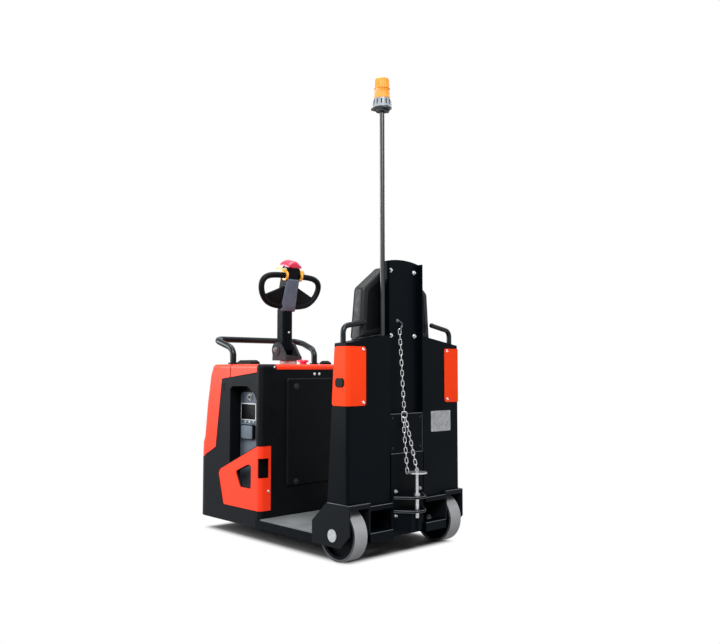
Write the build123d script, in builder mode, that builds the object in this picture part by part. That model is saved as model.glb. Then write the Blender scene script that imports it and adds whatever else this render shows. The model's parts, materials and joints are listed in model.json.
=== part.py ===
from build123d import *
import math
import os

os.makedirs("parts", exist_ok=True)

# Stand-on electric baggage tow tractor, in millimetres.
# X points forward, Y to the driver's left, Z up; the floor is Z = 0.

# Overall sizes
LENGTH = 1380.0
WIDTH = 800.0
HALF = WIDTH / 2
FRONT = LENGTH / 2
SEAM = 0.8
RUN_GAP = 0.3
PRESS_GAP = 0.1

# Tow coupling sizes that set the rear end
PIN_SETBACK = 46.0
PIN_DISC_DIA = 100.0
REAR = -FRONT + PIN_SETBACK + PIN_DISC_DIA / 2

# Rear wheels and axles
WHEEL_DIA = 250.0
WHEEL_WIDTH = 80.0
TREAD = 12.0
AXLE_DIA = 30.0
AXLE_SETBACK = 115.0
CAP_DIA = 58.0
CAP_THICK = 4.0
AXLE_X = REAR + AXLE_SETBACK
AXLE_Z = WHEEL_DIA / 2

# Wheel guards
GUARD_WIDTH = 134.0
GUARD_PLATE = 8.0
GUARD_SKIN = 4.0
GUARD_TOP = WHEEL_DIA + 22.0
GUARD_FLAT = 157.0
GUARD_LENGTH = 262.0
GUARD_NOSE = 176.0
GUARD_CHAMFER = 63.0
GUARD_LIP = 22.0
GUARD_INNER = HALF - GUARD_WIDTH
WHEEL_Y = HALF - GUARD_WIDTH / 2

# Chassis and standing deck
SKIRT_BOTTOM = 72.0
DECK_TOP = 120.0
MAT_THICK = 6.0
DECK_PLATE = 6.0
SILL_PLATE = 8.0
BODY_LENGTH = 600.0
BODY_REAR = FRONT - BODY_LENGTH
SILL_CORNER = 34.0

# Front body shell
WALL = 5.0
FRONT_RADIUS = 78.0
REAR_RADIUS = 26.0
TOP_RADIUS = 20.0
COVER_TOP = 918.0
CHIN_LOW = 392.0
CHIN_HIGH = 479.0
BROW = 511.0
FOREHEAD = 700.0
CROWN = 856.0
CHIN_SETBACK = 3.0
BROW_SETBACK = 18.0
FOREHEAD_SETBACK = 43.0
CROWN_SETBACK = 74.0
TOP_SETBACK = 104.0
PILLAR_X = BODY_REAR + SILL_CORNER
PILLAR_Y = HALF - 104.0
LIP_LOW = 890.0
STEER_X = FRONT - 320.0

# Rear column
COL_REAR = REAR + 17.0
COL_HALF = HALF - 6.0
COL_SHEET = 5.0
COL_TOP_OUT = 1013.0
COL_TOP_IN = 1058.0
COL_CORNER = 16.0
COL_FOOT_X = REAR + GUARD_FLAT
COL_HEAD_X = REAR + 108.0
COL_HEAD_Z = 1001.0
CHANNEL_HALF = 120.0
BEAM_TOP = 256.0


def left_plane(y):
    """Plane whose sketch axes are X and Z, at the given Y, facing right."""
    return Plane.XZ.offset(-y)


def front_line(z):
    """X of the sloping front face of the column at height z."""
    slope = (COL_HEAD_X - COL_FOOT_X) / (COL_HEAD_Z - GUARD_TOP)
    return COL_FOOT_X + (z - GUARD_TOP) * slope


# Rear tyre and rim of one side


def make_tyre(side):
    with BuildPart() as tyre:
        with BuildSketch(left_plane(side * WHEEL_Y)):
            with Locations((AXLE_X, AXLE_Z)):
                Circle(WHEEL_DIA / 2)
                Circle(WHEEL_DIA / 2 - TREAD, mode=Mode.SUBTRACT)
        extrude(amount=WHEEL_WIDTH / 2, both=True)
        fillet(tyre.edges().filter_by(GeomType.CIRCLE).sort_by(SortBy.RADIUS)[-2:], 3.0)
    return tyre


def make_rim(side):
    outer = WHEEL_DIA / 2 - TREAD - PRESS_GAP
    with BuildPart() as rim:
        with BuildSketch(left_plane(side * WHEEL_Y)):
            with Locations((AXLE_X, AXLE_Z)):
                Circle(outer)
        extrude(amount=WHEEL_WIDTH / 2 - 2, both=True)
        for face_y in (WHEEL_WIDTH / 2, -WHEEL_WIDTH / 2):
            depth = math.copysign(WHEEL_WIDTH / 4, face_y)
            with BuildSketch(left_plane(side * WHEEL_Y + face_y)):
                with Locations((AXLE_X, AXLE_Z)):
                    Circle(outer - 14)
                    Circle(AXLE_DIA / 2 + 20, mode=Mode.SUBTRACT)
            extrude(amount=depth, mode=Mode.SUBTRACT)
        with BuildSketch(left_plane(side * WHEEL_Y)):
            with Locations((AXLE_X, AXLE_Z)):
                Circle(AXLE_DIA / 2 + RUN_GAP)
        extrude(amount=WHEEL_WIDTH, both=True, mode=Mode.SUBTRACT)
    return rim


rear_tyre_left = make_tyre(1)
rear_tyre_right = make_tyre(-1)
rear_rim_left = make_rim(1)
rear_rim_right = make_rim(-1)

# Fixed axles with their end caps on the guard plates
with BuildPart() as rear_axles:
    with BuildSketch(left_plane(HALF)):
        with Locations((AXLE_X, AXLE_Z)):
            Circle(AXLE_DIA / 2)
    extrude(amount=GUARD_WIDTH + 4)
    with BuildSketch(left_plane(HALF + CAP_THICK)):
        with Locations((AXLE_X, AXLE_Z)):
            Circle(CAP_DIA / 2)
    extrude(amount=CAP_THICK)
    mirror(about=Plane.XZ)

# Wheel guards: outer plate, inner plate and the skin over the wheel
with BuildPart() as wheel_guards:
    for face in (HALF, GUARD_INNER + GUARD_PLATE):
        with BuildSketch(left_plane(face)):
            with BuildLine():
                Polyline(
                    (REAR, GUARD_TOP),
                    (COL_FOOT_X, GUARD_TOP),
                    (REAR + GUARD_LENGTH, GUARD_NOSE),
                    (REAR + GUARD_LENGTH, SKIRT_BOTTOM),
                    (REAR + GUARD_CHAMFER, SKIRT_BOTTOM),
                    (REAR, SKIRT_BOTTOM + GUARD_CHAMFER),
                    close=True,
                )
            make_face()
            with Locations((AXLE_X, AXLE_Z)):
                Circle(AXLE_DIA / 2 + PRESS_GAP, mode=Mode.SUBTRACT)
        extrude(amount=GUARD_PLATE)
    with BuildSketch(left_plane(HALF - GUARD_PLATE)):
        with BuildLine():
            Polyline(
                (REAR, GUARD_TOP),
                (COL_FOOT_X, GUARD_TOP),
                (REAR + GUARD_LENGTH, GUARD_NOSE),
                (REAR + GUARD_LENGTH, SKIRT_BOTTOM),
                (REAR + GUARD_LENGTH - GUARD_SKIN, SKIRT_BOTTOM),
                (REAR + GUARD_LENGTH - GUARD_SKIN, GUARD_NOSE - 2),
                (COL_FOOT_X - 2, GUARD_TOP - GUARD_SKIN),
                (REAR + GUARD_SKIN, GUARD_TOP - GUARD_SKIN),
                (REAR + GUARD_SKIN, GUARD_TOP - GUARD_LIP),
                (REAR, GUARD_TOP - GUARD_LIP),
                close=True,
            )
        make_face()
    extrude(amount=GUARD_WIDTH - 2 * GUARD_PLATE)
    mirror(about=Plane.XZ)

# Rear frame: two cross beams, the bulkhead and two stringers
HITCH_HALF = 113.0
HITCH_PLATE = 12.0
HITCH_FACE = REAR + 15.0
BEAM_DEPTH = 60.0
BULKHEAD = REAR + 130.0
LOW_BEAM_TOP = 132.0
LOW_BEAM_BOTTOM = 90.0
HIGH_BEAM_HEIGHT = 22.0
with BuildPart() as rear_frame:
    for low, high in ((LOW_BEAM_BOTTOM, LOW_BEAM_TOP), (BEAM_TOP - HIGH_BEAM_HEIGHT, BEAM_TOP)):
        with BuildSketch(Plane.XY.offset(low)):
            with Locations((REAR + BEAM_DEPTH / 2, 0)):
                Rectangle(BEAM_DEPTH, 2 * GUARD_INNER)
            with Locations((REAR, 0)):
                Rectangle(2 * (HITCH_FACE + HITCH_PLATE - REAR), 2 * HITCH_HALF + 8, mode=Mode.SUBTRACT)
        extrude(amount=high - low)
    with BuildSketch(Plane.XY.offset(SKIRT_BOTTOM)):
        with Locations((BULKHEAD + SILL_PLATE / 2, 0)):
            Rectangle(SILL_PLATE, 2 * GUARD_INNER)
    extrude(amount=BEAM_TOP - SKIRT_BOTTOM)
    with BuildSketch(Plane.XY.offset(LOW_BEAM_BOTTOM)):
        for side in (1, -1):
            with Locations(((REAR + BEAM_DEPTH + BULKHEAD) / 2, side * (HITCH_HALF - 5))):
                Rectangle(BULKHEAD - REAR - BEAM_DEPTH, 10)
    extrude(amount=BEAM_TOP - LOW_BEAM_BOTTOM)

# Platform frame: ribbed pan between the rear frame and the front body
PAN_REAR = BULKHEAD + SILL_PLATE
PAN_TOP = DECK_TOP - MAT_THICK
RIB = 12.0
BAY_X = (BODY_REAR - REAR - GUARD_LENGTH - 2 * SILL_PLATE) / 2
BAY_Y = (WIDTH - 2 * SILL_PLATE) / 3
with BuildPart() as platform_frame:
    with BuildSketch(Plane.XY.offset(SKIRT_BOTTOM)):
        with BuildLine():
            Polyline(
                (PAN_REAR, -GUARD_INNER),
                (REAR + GUARD_LENGTH, -GUARD_INNER),
                (REAR + GUARD_LENGTH, -HALF),
                (BODY_REAR, -HALF),
                (BODY_REAR, HALF),
                (REAR + GUARD_LENGTH, HALF),
                (REAR + GUARD_LENGTH, GUARD_INNER),
                (PAN_REAR, GUARD_INNER),
                close=True,
            )
        make_face()
    extrude(amount=PAN_TOP - SKIRT_BOTTOM)
    with BuildSketch(Plane.XY.offset(SKIRT_BOTTOM)):
        with Locations(((REAR + GUARD_LENGTH + BODY_REAR) / 2, 0)):
            with GridLocations(BAY_X, BAY_Y, 2, 3):
                Rectangle(BAY_X - RIB, BAY_Y - RIB)
        with Locations(((PAN_REAR + REAR + GUARD_LENGTH) / 2, 0)):
            Rectangle(REAR + GUARD_LENGTH - PAN_REAR - RIB, 2 * GUARD_INNER - 2 * RIB)
    extrude(amount=PAN_TOP - SKIRT_BOTTOM - DECK_PLATE, mode=Mode.SUBTRACT)
    with BuildSketch(Plane.XY.offset(SKIRT_BOTTOM)):
        for side in (1, -1):
            with Locations((BODY_REAR + SILL_CORNER / 2, side * (HALF - SILL_CORNER / 2))):
                Rectangle(SILL_CORNER, SILL_CORNER)
    extrude(amount=PAN_TOP - SKIRT_BOTTOM)

# Standing mat
MAT_EDGE = 2.0
MAT_REAR = COL_FOOT_X + 6.0
with BuildPart() as deck_mat:
    with BuildSketch(Plane.XY.offset(PAN_TOP)):
        with BuildLine():
            Polyline(
                (MAT_REAR, MAT_EDGE - GUARD_INNER),
                (REAR + GUARD_LENGTH + MAT_EDGE, MAT_EDGE - GUARD_INNER),
                (REAR + GUARD_LENGTH + MAT_EDGE, MAT_EDGE - HALF),
                (BODY_REAR - MAT_EDGE, MAT_EDGE - HALF),
                (BODY_REAR - MAT_EDGE, HALF - MAT_EDGE),
                (REAR + GUARD_LENGTH + MAT_EDGE, HALF - MAT_EDGE),
                (REAR + GUARD_LENGTH + MAT_EDGE, GUARD_INNER - MAT_EDGE),
                (MAT_REAR, GUARD_INNER - MAT_EDGE),
                close=True,
            )
        make_face()
    extrude(amount=MAT_THICK)

# Front body: outer and inner lofts give one common skin


def body_section(height, setback, inset):
    with BuildSketch(Plane.XY.offset(height)) as section:
        front = FRONT - setback - inset
        back = BODY_REAR + inset
        with Locations(((front + back) / 2, 0)):
            Rectangle(front - back, WIDTH - 2 * inset)
        corners = section.vertices().sort_by(Axis.X)
        fillet(corners[2:], FRONT_RADIUS - inset)
        fillet(section.vertices().sort_by(Axis.X)[:2], REAR_RADIUS - inset)
    return section


PROFILE = (
    (SKIRT_BOTTOM, 0.0),
    (CHIN_LOW, 0.0),
    (CHIN_HIGH, CHIN_SETBACK),
    (BROW, BROW_SETBACK),
    (FOREHEAD, FOREHEAD_SETBACK),
    (CROWN, CROWN_SETBACK),
    (COVER_TOP, TOP_SETBACK),
)


def body_solid(inset):
    sections = []
    for height, setback in PROFILE:
        level = height - inset if height == COVER_TOP else height
        sections.append(body_section(level, setback, inset).sketch)
    with BuildPart() as solid:
        for below, above in zip(sections[:-1], sections[1:]):
            loft(sections=[below, above], ruled=True)
        fillet(solid.faces().sort_by(Axis.Z)[-1].edges(), TOP_RADIUS - inset)
    return solid


body_outer = body_solid(0.0)
body_inner = body_solid(WALL)
with BuildPart() as skin:
    add(body_outer.part)
    add(body_inner.part, mode=Mode.SUBTRACT)

# Lines that divide the skin, each as X and Z
BAND_REAR = (PILLAR_X, 874.0)
BAND_FRONT = (FRONT - 241.0, 839.0)
CHEEK = (FRONT - 185.0, 462.0)
CHEEK_LOW = (FRONT - 61.0, 401.0)
AHEAD = FRONT + 50
ABOVE = COVER_TOP + 50
BEHIND = BODY_REAR - 50
SPLIT_X = STEER_X
BAND_SLOPE = (BAND_REAR[1] - BAND_FRONT[1]) / (BAND_FRONT[0] - BAND_REAR[0])
SPLIT_Z = BAND_FRONT[1] + (BAND_FRONT[0] - SPLIT_X) * BAND_SLOPE
STEER_BORE = 34.0

# Crease above the nose cover's lower lip, parallel to its lower edge
CREASE_RISE = 80.0
CREASE_DEPTH = 2.0

# Nose cover
with BuildPart() as nose_cover:
    add(skin.part)
    with BuildSketch(Plane.XZ):
        with BuildLine():
            Polyline(
                (SPLIT_X, ABOVE),
                (SPLIT_X, SPLIT_Z),
                BAND_FRONT,
                CHEEK,
                CHEEK_LOW,
                (AHEAD, CHIN_LOW),
                (AHEAD, ABOVE),
                close=True,
            )
        make_face()
    extrude(amount=WIDTH, both=True, mode=Mode.INTERSECT)
    with BuildSketch(Plane.XY.offset(COVER_TOP + 10)):
        with Locations((STEER_X, 0)):
            Circle(STEER_BORE)
    extrude(amount=-60, mode=Mode.SUBTRACT)
    with BuildSketch(left_plane(HALF)):
        with BuildLine():
            Polyline(
                (CHEEK[0] - 60, CHEEK[1] + CREASE_RISE),
                (CHEEK[0], CHEEK[1] + CREASE_RISE),
                (FRONT, CHIN_HIGH),
                (FRONT, COVER_TOP - TOP_RADIUS),
                (CHEEK[0] - 60, COVER_TOP - TOP_RADIUS),
                close=True,
            )
        make_face()
    nose_trim = extrude(amount=CREASE_DEPTH, mode=Mode.SUBTRACT)
    mirror(nose_trim, about=Plane.XZ, mode=Mode.SUBTRACT)

# Top cover with its rear lip
with BuildPart() as top_cover:
    add(skin.part)
    with BuildSketch(Plane.XZ):
        with BuildLine():
            Polyline(
                (SPLIT_X - SEAM, ABOVE),
                (SPLIT_X - SEAM, SPLIT_Z),
                BAND_REAR,
                (PILLAR_X, LIP_LOW),
                (BEHIND, LIP_LOW),
                (BEHIND, ABOVE),
                close=True,
            )
        make_face()
    extrude(amount=WIDTH, both=True, mode=Mode.INTERSECT)
    with BuildSketch(Plane.XY.offset(COVER_TOP + 10)):
        with Locations((STEER_X, 0)):
            Circle(STEER_BORE)
        for side in (1, -1):
            with Locations(((BEHIND + PILLAR_X) / 2, side * (PILLAR_Y + HALF) / 2)):
                Rectangle(PILLAR_X - BEHIND, HALF - PILLAR_Y)
    extrude(amount=-60, mode=Mode.SUBTRACT)

# Side tray outline, as X and Z
TRAY_LOW = 157.0
TRAY_HIGH = 492.0
TRAY_WRAP_Y = HALF - 72.0
TRAY_TOP_FRONT = (BODY_REAR + 372.0, 345.0)
TRAY_TIP = (BODY_REAR + 385.0, 321.0)
TRAY_HEEL = (BODY_REAR + 334.0, TRAY_LOW)
TRAY_ROUND = 10.0


def tray_region(grow):
    with BuildSketch(Plane.XZ) as region:
        with BuildLine():
            Polyline(
                (BEHIND, TRAY_LOW),
                TRAY_HEEL,
                TRAY_TIP,
                TRAY_TOP_FRONT,
                (BODY_REAR + REAR_RADIUS, TRAY_HIGH),
                (BEHIND, TRAY_HIGH),
                close=True,
            )
        make_face()
        fillet(region.vertices().sort_by(Axis.X)[-3:], TRAY_ROUND)
        if grow:
            offset(amount=grow, kind=Kind.INTERSECTION)
    return region


tray_flat = tray_region(0)
tray_clear = tray_region(SEAM)
with BuildPart() as tray_cutter:
    extrude(tray_clear.sketch, amount=WIDTH, both=True)
    with BuildSketch(Plane.XY):
        with Locations((BODY_REAR, 0)):
            Rectangle(4 * BODY_LENGTH, 2 * (TRAY_WRAP_Y - SEAM))
    extrude(amount=COVER_TOP, mode=Mode.SUBTRACT)

# Trays on both sides, wrapping round the rear corner
WINDOW = (
    (BODY_REAR + 225.0, 346.0),
    (BODY_REAR + 110.0, 391.0),
    (BODY_REAR + 77.0, 389.0),
    (BODY_REAR + 80.0, 265.0),
    (BODY_REAR + 179.0, 266.0),
)
WINDOW_ROUND = 15.0
SLOT_LOW = 327.0
SLOT_HIGH = 428.0
SLOT_SIDE = 22.0
SLOT_REAR = 57.0
with BuildPart() as side_trays:
    add(skin.part)
    extrude(tray_flat.sketch, amount=WIDTH, both=True, mode=Mode.INTERSECT)
    with BuildSketch(Plane.XY):
        with Locations((BODY_REAR, 0)):
            Rectangle(4 * BODY_LENGTH, 2 * TRAY_WRAP_Y)
    extrude(amount=COVER_TOP, mode=Mode.SUBTRACT)
    with BuildSketch(Plane.XZ) as window:
        with BuildLine():
            Polyline(*WINDOW, close=True)
        make_face()
        fillet(window.vertices(), WINDOW_ROUND)
    extrude(amount=WIDTH, both=True, mode=Mode.SUBTRACT)
    for side in (1, -1):
        with BuildSketch(Plane.XY.offset(SLOT_LOW)):
            with Locations((BODY_REAR, side * HALF)):
                Rectangle(2 * SLOT_SIDE, 2 * SLOT_REAR)
        extrude(amount=SLOT_HIGH - SLOT_LOW, mode=Mode.SUBTRACT)

# Side panels with the pocket opening
POCKET_FRONT = FRONT - 320.0
POCKET_TOP = 800.0
RECESS_X = POCKET_FRONT + 42.0
RECESS_Z = POCKET_TOP - 9.0
RECESS_LENGTH = 44.0
RECESS_TALL = 42.0
RECESS_DEPTH = 2.5
with BuildPart() as side_panels:
    add(skin.part)
    with BuildSketch(Plane.XZ) as panel_face:
        with BuildLine():
            Polyline(
                (PILLAR_X + SEAM, SKIRT_BOTTOM),
                (FRONT - FRONT_RADIUS, SKIRT_BOTTOM),
                (FRONT - FRONT_RADIUS, CHEEK_LOW[1] + 4),
                (CHEEK[0] - SEAM, CHEEK[1] - SEAM),
                (BAND_FRONT[0] - SEAM, BAND_FRONT[1] - SEAM),
                (PILLAR_X + SEAM, BAND_REAR[1] - SEAM),
                close=True,
            )
        make_face()
        with BuildLine():
            Polyline(
                (PILLAR_X, TRAY_LOW + 60),
                (POCKET_FRONT, TRAY_LOW + 60),
                (POCKET_FRONT, POCKET_TOP - 14),
                (POCKET_FRONT - 24, POCKET_TOP),
                (PILLAR_X + 88, POCKET_TOP + 2),
                (PILLAR_X + 22, POCKET_TOP - 35),
                (PILLAR_X + SEAM, POCKET_TOP - 70),
                (PILLAR_X, POCKET_TOP - 70),
                close=True,
            )
        make_face(mode=Mode.SUBTRACT)
    extrude(amount=WIDTH, both=True, mode=Mode.INTERSECT)
    add(tray_cutter.part, mode=Mode.SUBTRACT)
    with BuildSketch(left_plane(HALF)):
        with Locations((RECESS_X, RECESS_Z)):
            RectangleRounded(RECESS_LENGTH, RECESS_TALL, 6)
    recess = extrude(amount=RECESS_DEPTH, mode=Mode.SUBTRACT)
    mirror(recess, about=Plane.XZ, mode=Mode.SUBTRACT)

# Front skirt round the nose, below the cover
with BuildPart() as front_skirt:
    add(skin.part)
    with BuildSketch(Plane.XZ):
        with BuildLine():
            Polyline(
                (FRONT - FRONT_RADIUS, SKIRT_BOTTOM),
                (AHEAD, SKIRT_BOTTOM),
                (AHEAD, CHIN_LOW - SEAM),
                (CHEEK_LOW[0], CHEEK_LOW[1] - SEAM),
                (FRONT - FRONT_RADIUS, CHEEK_LOW[1] + 4),
                close=True,
            )
        make_face()
    extrude(amount=WIDTH, both=True, mode=Mode.INTERSECT)

# Rear fascia facing the driver, with its corner pillars
with BuildPart() as rear_fascia:
    add(skin.part)
    with BuildSketch(Plane.XY):
        with Locations(((BEHIND + PILLAR_X) / 2, 0)):
            Rectangle(PILLAR_X - BEHIND, WIDTH + 20)
    extrude(amount=ABOVE, mode=Mode.INTERSECT)
    with BuildSketch(Plane.XY.offset(LIP_LOW - SEAM)):
        with Locations(((BEHIND + PILLAR_X) / 2, 0)):
            Rectangle(PILLAR_X - BEHIND + 20, 2 * PILLAR_Y)
    extrude(amount=ABOVE, mode=Mode.SUBTRACT)
    add(tray_cutter.part, mode=Mode.SUBTRACT)
    with BuildSketch(Plane.XY.offset(SKIRT_BOTTOM)):
        for side in (1, -1):
            with Locations((BODY_REAR, side * HALF)):
                Rectangle(2 * (SILL_CORNER + SEAM), 2 * (SILL_CORNER + SEAM))
    extrude(amount=PAN_TOP + SEAM - SKIRT_BOTTOM, mode=Mode.SUBTRACT)

# Knee pad
PAD_HALF = PILLAR_Y - 66.0
PAD_LOW = 270.0
PAD_HIGH = 844.0
PAD_THICK = 10.0
with BuildPart() as knee_pad:
    with BuildSketch(Plane.YZ.offset(BODY_REAR)):
        with Locations((0, (PAD_LOW + PAD_HIGH) / 2)):
            RectangleRounded(2 * PAD_HALF, PAD_HIGH - PAD_LOW, 14)
    extrude(amount=-PAD_THICK)
    chamfer(knee_pad.faces().sort_by(Axis.X)[0].edges(), 7)

# Pocket pans behind the side panels
PAN_SHEET = 4.0
PAN_DEPTH = 70.0
PAN_FRONT = POCKET_FRONT + 6.0
PAN_BACK = PILLAR_X - 4.0
PAN_LOW = TRAY_LOW + 8.0
PAN_HIGH = POCKET_TOP + 10.0
with BuildPart() as side_pockets:
    with BuildSketch(left_plane(HALF - WALL)):
        with Locations(((PAN_FRONT + PAN_BACK) / 2, (PAN_LOW + PAN_HIGH) / 2)):
            Rectangle(PAN_FRONT - PAN_BACK, PAN_HIGH - PAN_LOW)
    extrude(amount=PAN_DEPTH)
    with BuildSketch(left_plane(HALF - WALL)):
        with Locations(((PAN_FRONT + PAN_BACK) / 2, (PAN_LOW + PAN_HIGH) / 2)):
            Rectangle(PAN_FRONT - PAN_BACK - 2 * PAN_SHEET, PAN_HIGH - PAN_LOW - 2 * PAN_SHEET)
    extrude(amount=PAN_DEPTH - PAN_SHEET, mode=Mode.SUBTRACT)
    mirror(about=Plane.XZ)
POCKET_FACE = HALF - WALL - PAN_DEPTH + PAN_SHEET

# Grey control panel, key switch, blank plate and charging socket in the left pocket
PANEL_FRONT = POCKET_FRONT - 6.0
PANEL_BACK = PILLAR_X + 12.0
PANEL_LOW = 250.0
PANEL_HIGH = POCKET_TOP - 33.0
PANEL_THICK = 4.0
CONTROL_X = PANEL_FRONT - 82.0
KEY_X = PANEL_FRONT - 91.0
with BuildPart() as control_panel:
    with BuildSketch(left_plane(POCKET_FACE + PANEL_THICK)):
        with Locations(((PANEL_FRONT + PANEL_BACK) / 2, (PANEL_LOW + PANEL_HIGH) / 2)):
            RectangleRounded(PANEL_FRONT - PANEL_BACK, PANEL_HIGH - PANEL_LOW, 24)
    extrude(amount=PANEL_THICK)

KEY_Z = PANEL_HIGH - 26.0
with BuildPart() as key_switch:
    with BuildSketch(left_plane(POCKET_FACE + PANEL_THICK + 10)):
        with Locations((KEY_X, KEY_Z)):
            Circle(14)
    extrude(amount=10)
    with BuildSketch(left_plane(POCKET_FACE + PANEL_THICK + 10)):
        with Locations((KEY_X, KEY_Z)):
            Rectangle(3, 14)
    extrude(amount=5, mode=Mode.SUBTRACT)

SOCKET_Z = PANEL_HIGH - 214.0
with BuildPart() as charge_socket:
    with BuildSketch(left_plane(POCKET_FACE + PANEL_THICK + 16)):
        with Locations((CONTROL_X, SOCKET_Z)):
            RectangleRounded(112, 80, 10)
    extrude(amount=16)
    with BuildSketch(left_plane(POCKET_FACE + PANEL_THICK + 16)):
        with Locations((CONTROL_X, SOCKET_Z)):
            RectangleRounded(88, 60, 6)
    extrude(amount=6, mode=Mode.SUBTRACT)

# Floor of the front body, open round the drive wheel
FLOOR_PLATE = 12.0
WHEEL_WELL = 150.0
FLOOR_GAP = 0.4
with BuildPart() as front_floor:
    with BuildSketch(Plane.XY.offset(SKIRT_BOTTOM)) as floor_face:
        inside = WALL + FLOOR_GAP
        with Locations(((FRONT + BODY_REAR) / 2, 0)):
            Rectangle(BODY_LENGTH - 2 * inside, WIDTH - 2 * inside)
        fillet(floor_face.vertices().sort_by(Axis.X)[2:], FRONT_RADIUS - inside)
        for side in (1, -1):
            with Locations((BODY_REAR, side * HALF)):
                Rectangle(2 * (SILL_CORNER + SEAM), 2 * (SILL_CORNER + SEAM), mode=Mode.SUBTRACT)
        with Locations((STEER_X, 0)):
            Circle(WHEEL_WELL, mode=Mode.SUBTRACT)
    extrude(amount=FLOOR_PLATE)
FLOOR_TOP = SKIRT_BOTTOM + FLOOR_PLATE

# Battery block
BRIDGE_LENGTH = 250.0
INSIDE_GAP = 25.0
BATTERY_TALL = 560.0
BATTERY_REAR_GAP = 8.0
BATTERY_FRONT_GAP = 15.0
BATTERY_HALF = HALF - WALL - PAN_DEPTH - INSIDE_GAP
BATTERY_X = BODY_REAR + WALL + BATTERY_REAR_GAP
BATTERY_LENGTH = STEER_X - BRIDGE_LENGTH / 2 - BATTERY_FRONT_GAP - BATTERY_X
with BuildPart() as battery:
    with BuildSketch(Plane.XY.offset(FLOOR_TOP)):
        with Locations((BATTERY_X + BATTERY_LENGTH / 2, 0)):
            Rectangle(BATTERY_LENGTH, 2 * BATTERY_HALF)
    extrude(amount=BATTERY_TALL)

# Bridge that carries the drive unit
BRIDGE_HALF = HALF - WALL - PAN_DEPTH - INSIDE_GAP
BRIDGE_PLATE = 12.0
BRIDGE_TOP = 352.0
MOTOR_DIA = 170.0
TURN_BORE = MOTOR_DIA / 2 + RUN_GAP
with BuildPart() as drive_bridge:
    with BuildSketch(Plane.XY.offset(BRIDGE_TOP - BRIDGE_PLATE)):
        with Locations((STEER_X, 0)):
            Rectangle(BRIDGE_LENGTH, 2 * BRIDGE_HALF)
            Circle(TURN_BORE, mode=Mode.SUBTRACT)
    extrude(amount=BRIDGE_PLATE)
    with BuildSketch(Plane.XY.offset(FLOOR_TOP)):
        for side in (1, -1):
            with Locations((STEER_X, side * (BRIDGE_HALF - BRIDGE_PLATE / 2))):
                Rectangle(BRIDGE_LENGTH, BRIDGE_PLATE)
    extrude(amount=BRIDGE_TOP - BRIDGE_PLATE - FLOOR_TOP)

# Drive unit: turning flange, gear case beside the wheel, stub axle, motor and column
DRIVE_DIA = 230.0
DRIVE_WIDTH = 75.0
DRIVE_Y = -10.0
CASE_THICK = 44.0
CASE_GAP = 7.0
FLANGE_DIA = 236.0
FLANGE_THICK = 18.0
MOTOR_TOP = 600.0
COLUMN_DIA = 54.0
COLLAR_LOW = COVER_TOP + 2.0
TURN_GAP = 1.0
FLANGE_TOP = BRIDGE_TOP - BRIDGE_PLATE - TURN_GAP
CASE_Y = DRIVE_Y + DRIVE_WIDTH / 2 + CASE_GAP
with BuildPart() as drive_unit:
    with BuildSketch(Plane.XY.offset(FLANGE_TOP - FLANGE_THICK)):
        with Locations((STEER_X, 0)):
            Circle(FLANGE_DIA / 2)
    extrude(amount=FLANGE_THICK)
    with BuildSketch(Plane.XY.offset(FLANGE_TOP)):
        with Locations((STEER_X, 0)):
            Circle(MOTOR_DIA / 2)
    extrude(amount=MOTOR_TOP - FLANGE_TOP)
    with BuildSketch(Plane.XY.offset(MOTOR_TOP)):
        with Locations((STEER_X, 0)):
            Circle(COLUMN_DIA / 2)
    extrude(amount=COLLAR_LOW - MOTOR_TOP)
    with BuildSketch(left_plane(CASE_Y + CASE_THICK)) as case_face:
        with Locations((STEER_X, DRIVE_DIA / 2)):
            Circle(66)
        with Locations((STEER_X, FLANGE_TOP - FLANGE_THICK - 2)):
            Rectangle(130, 4)
        make_hull()
    extrude(amount=CASE_THICK)
    with BuildSketch(left_plane(CASE_Y)):
        with Locations((STEER_X, DRIVE_DIA / 2)):
            Circle(AXLE_DIA / 2)
    extrude(amount=CASE_GAP + DRIVE_WIDTH)

# Drive wheel
with BuildPart() as drive_tyre:
    with BuildSketch(left_plane(DRIVE_Y)):
        with Locations((STEER_X, DRIVE_DIA / 2)):
            Circle(DRIVE_DIA / 2)
            Circle(DRIVE_DIA / 2 - TREAD, mode=Mode.SUBTRACT)
    extrude(amount=DRIVE_WIDTH / 2, both=True)
    fillet(drive_tyre.edges().filter_by(GeomType.CIRCLE).sort_by(SortBy.RADIUS)[-2:], 3.0)
with BuildPart() as drive_hub:
    with BuildSketch(left_plane(DRIVE_Y)):
        with Locations((STEER_X, DRIVE_DIA / 2)):
            Circle(DRIVE_DIA / 2 - TREAD - PRESS_GAP)
            Circle(AXLE_DIA / 2 + RUN_GAP, mode=Mode.SUBTRACT)
    extrude(amount=DRIVE_WIDTH / 2 - 3, both=True)

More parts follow.
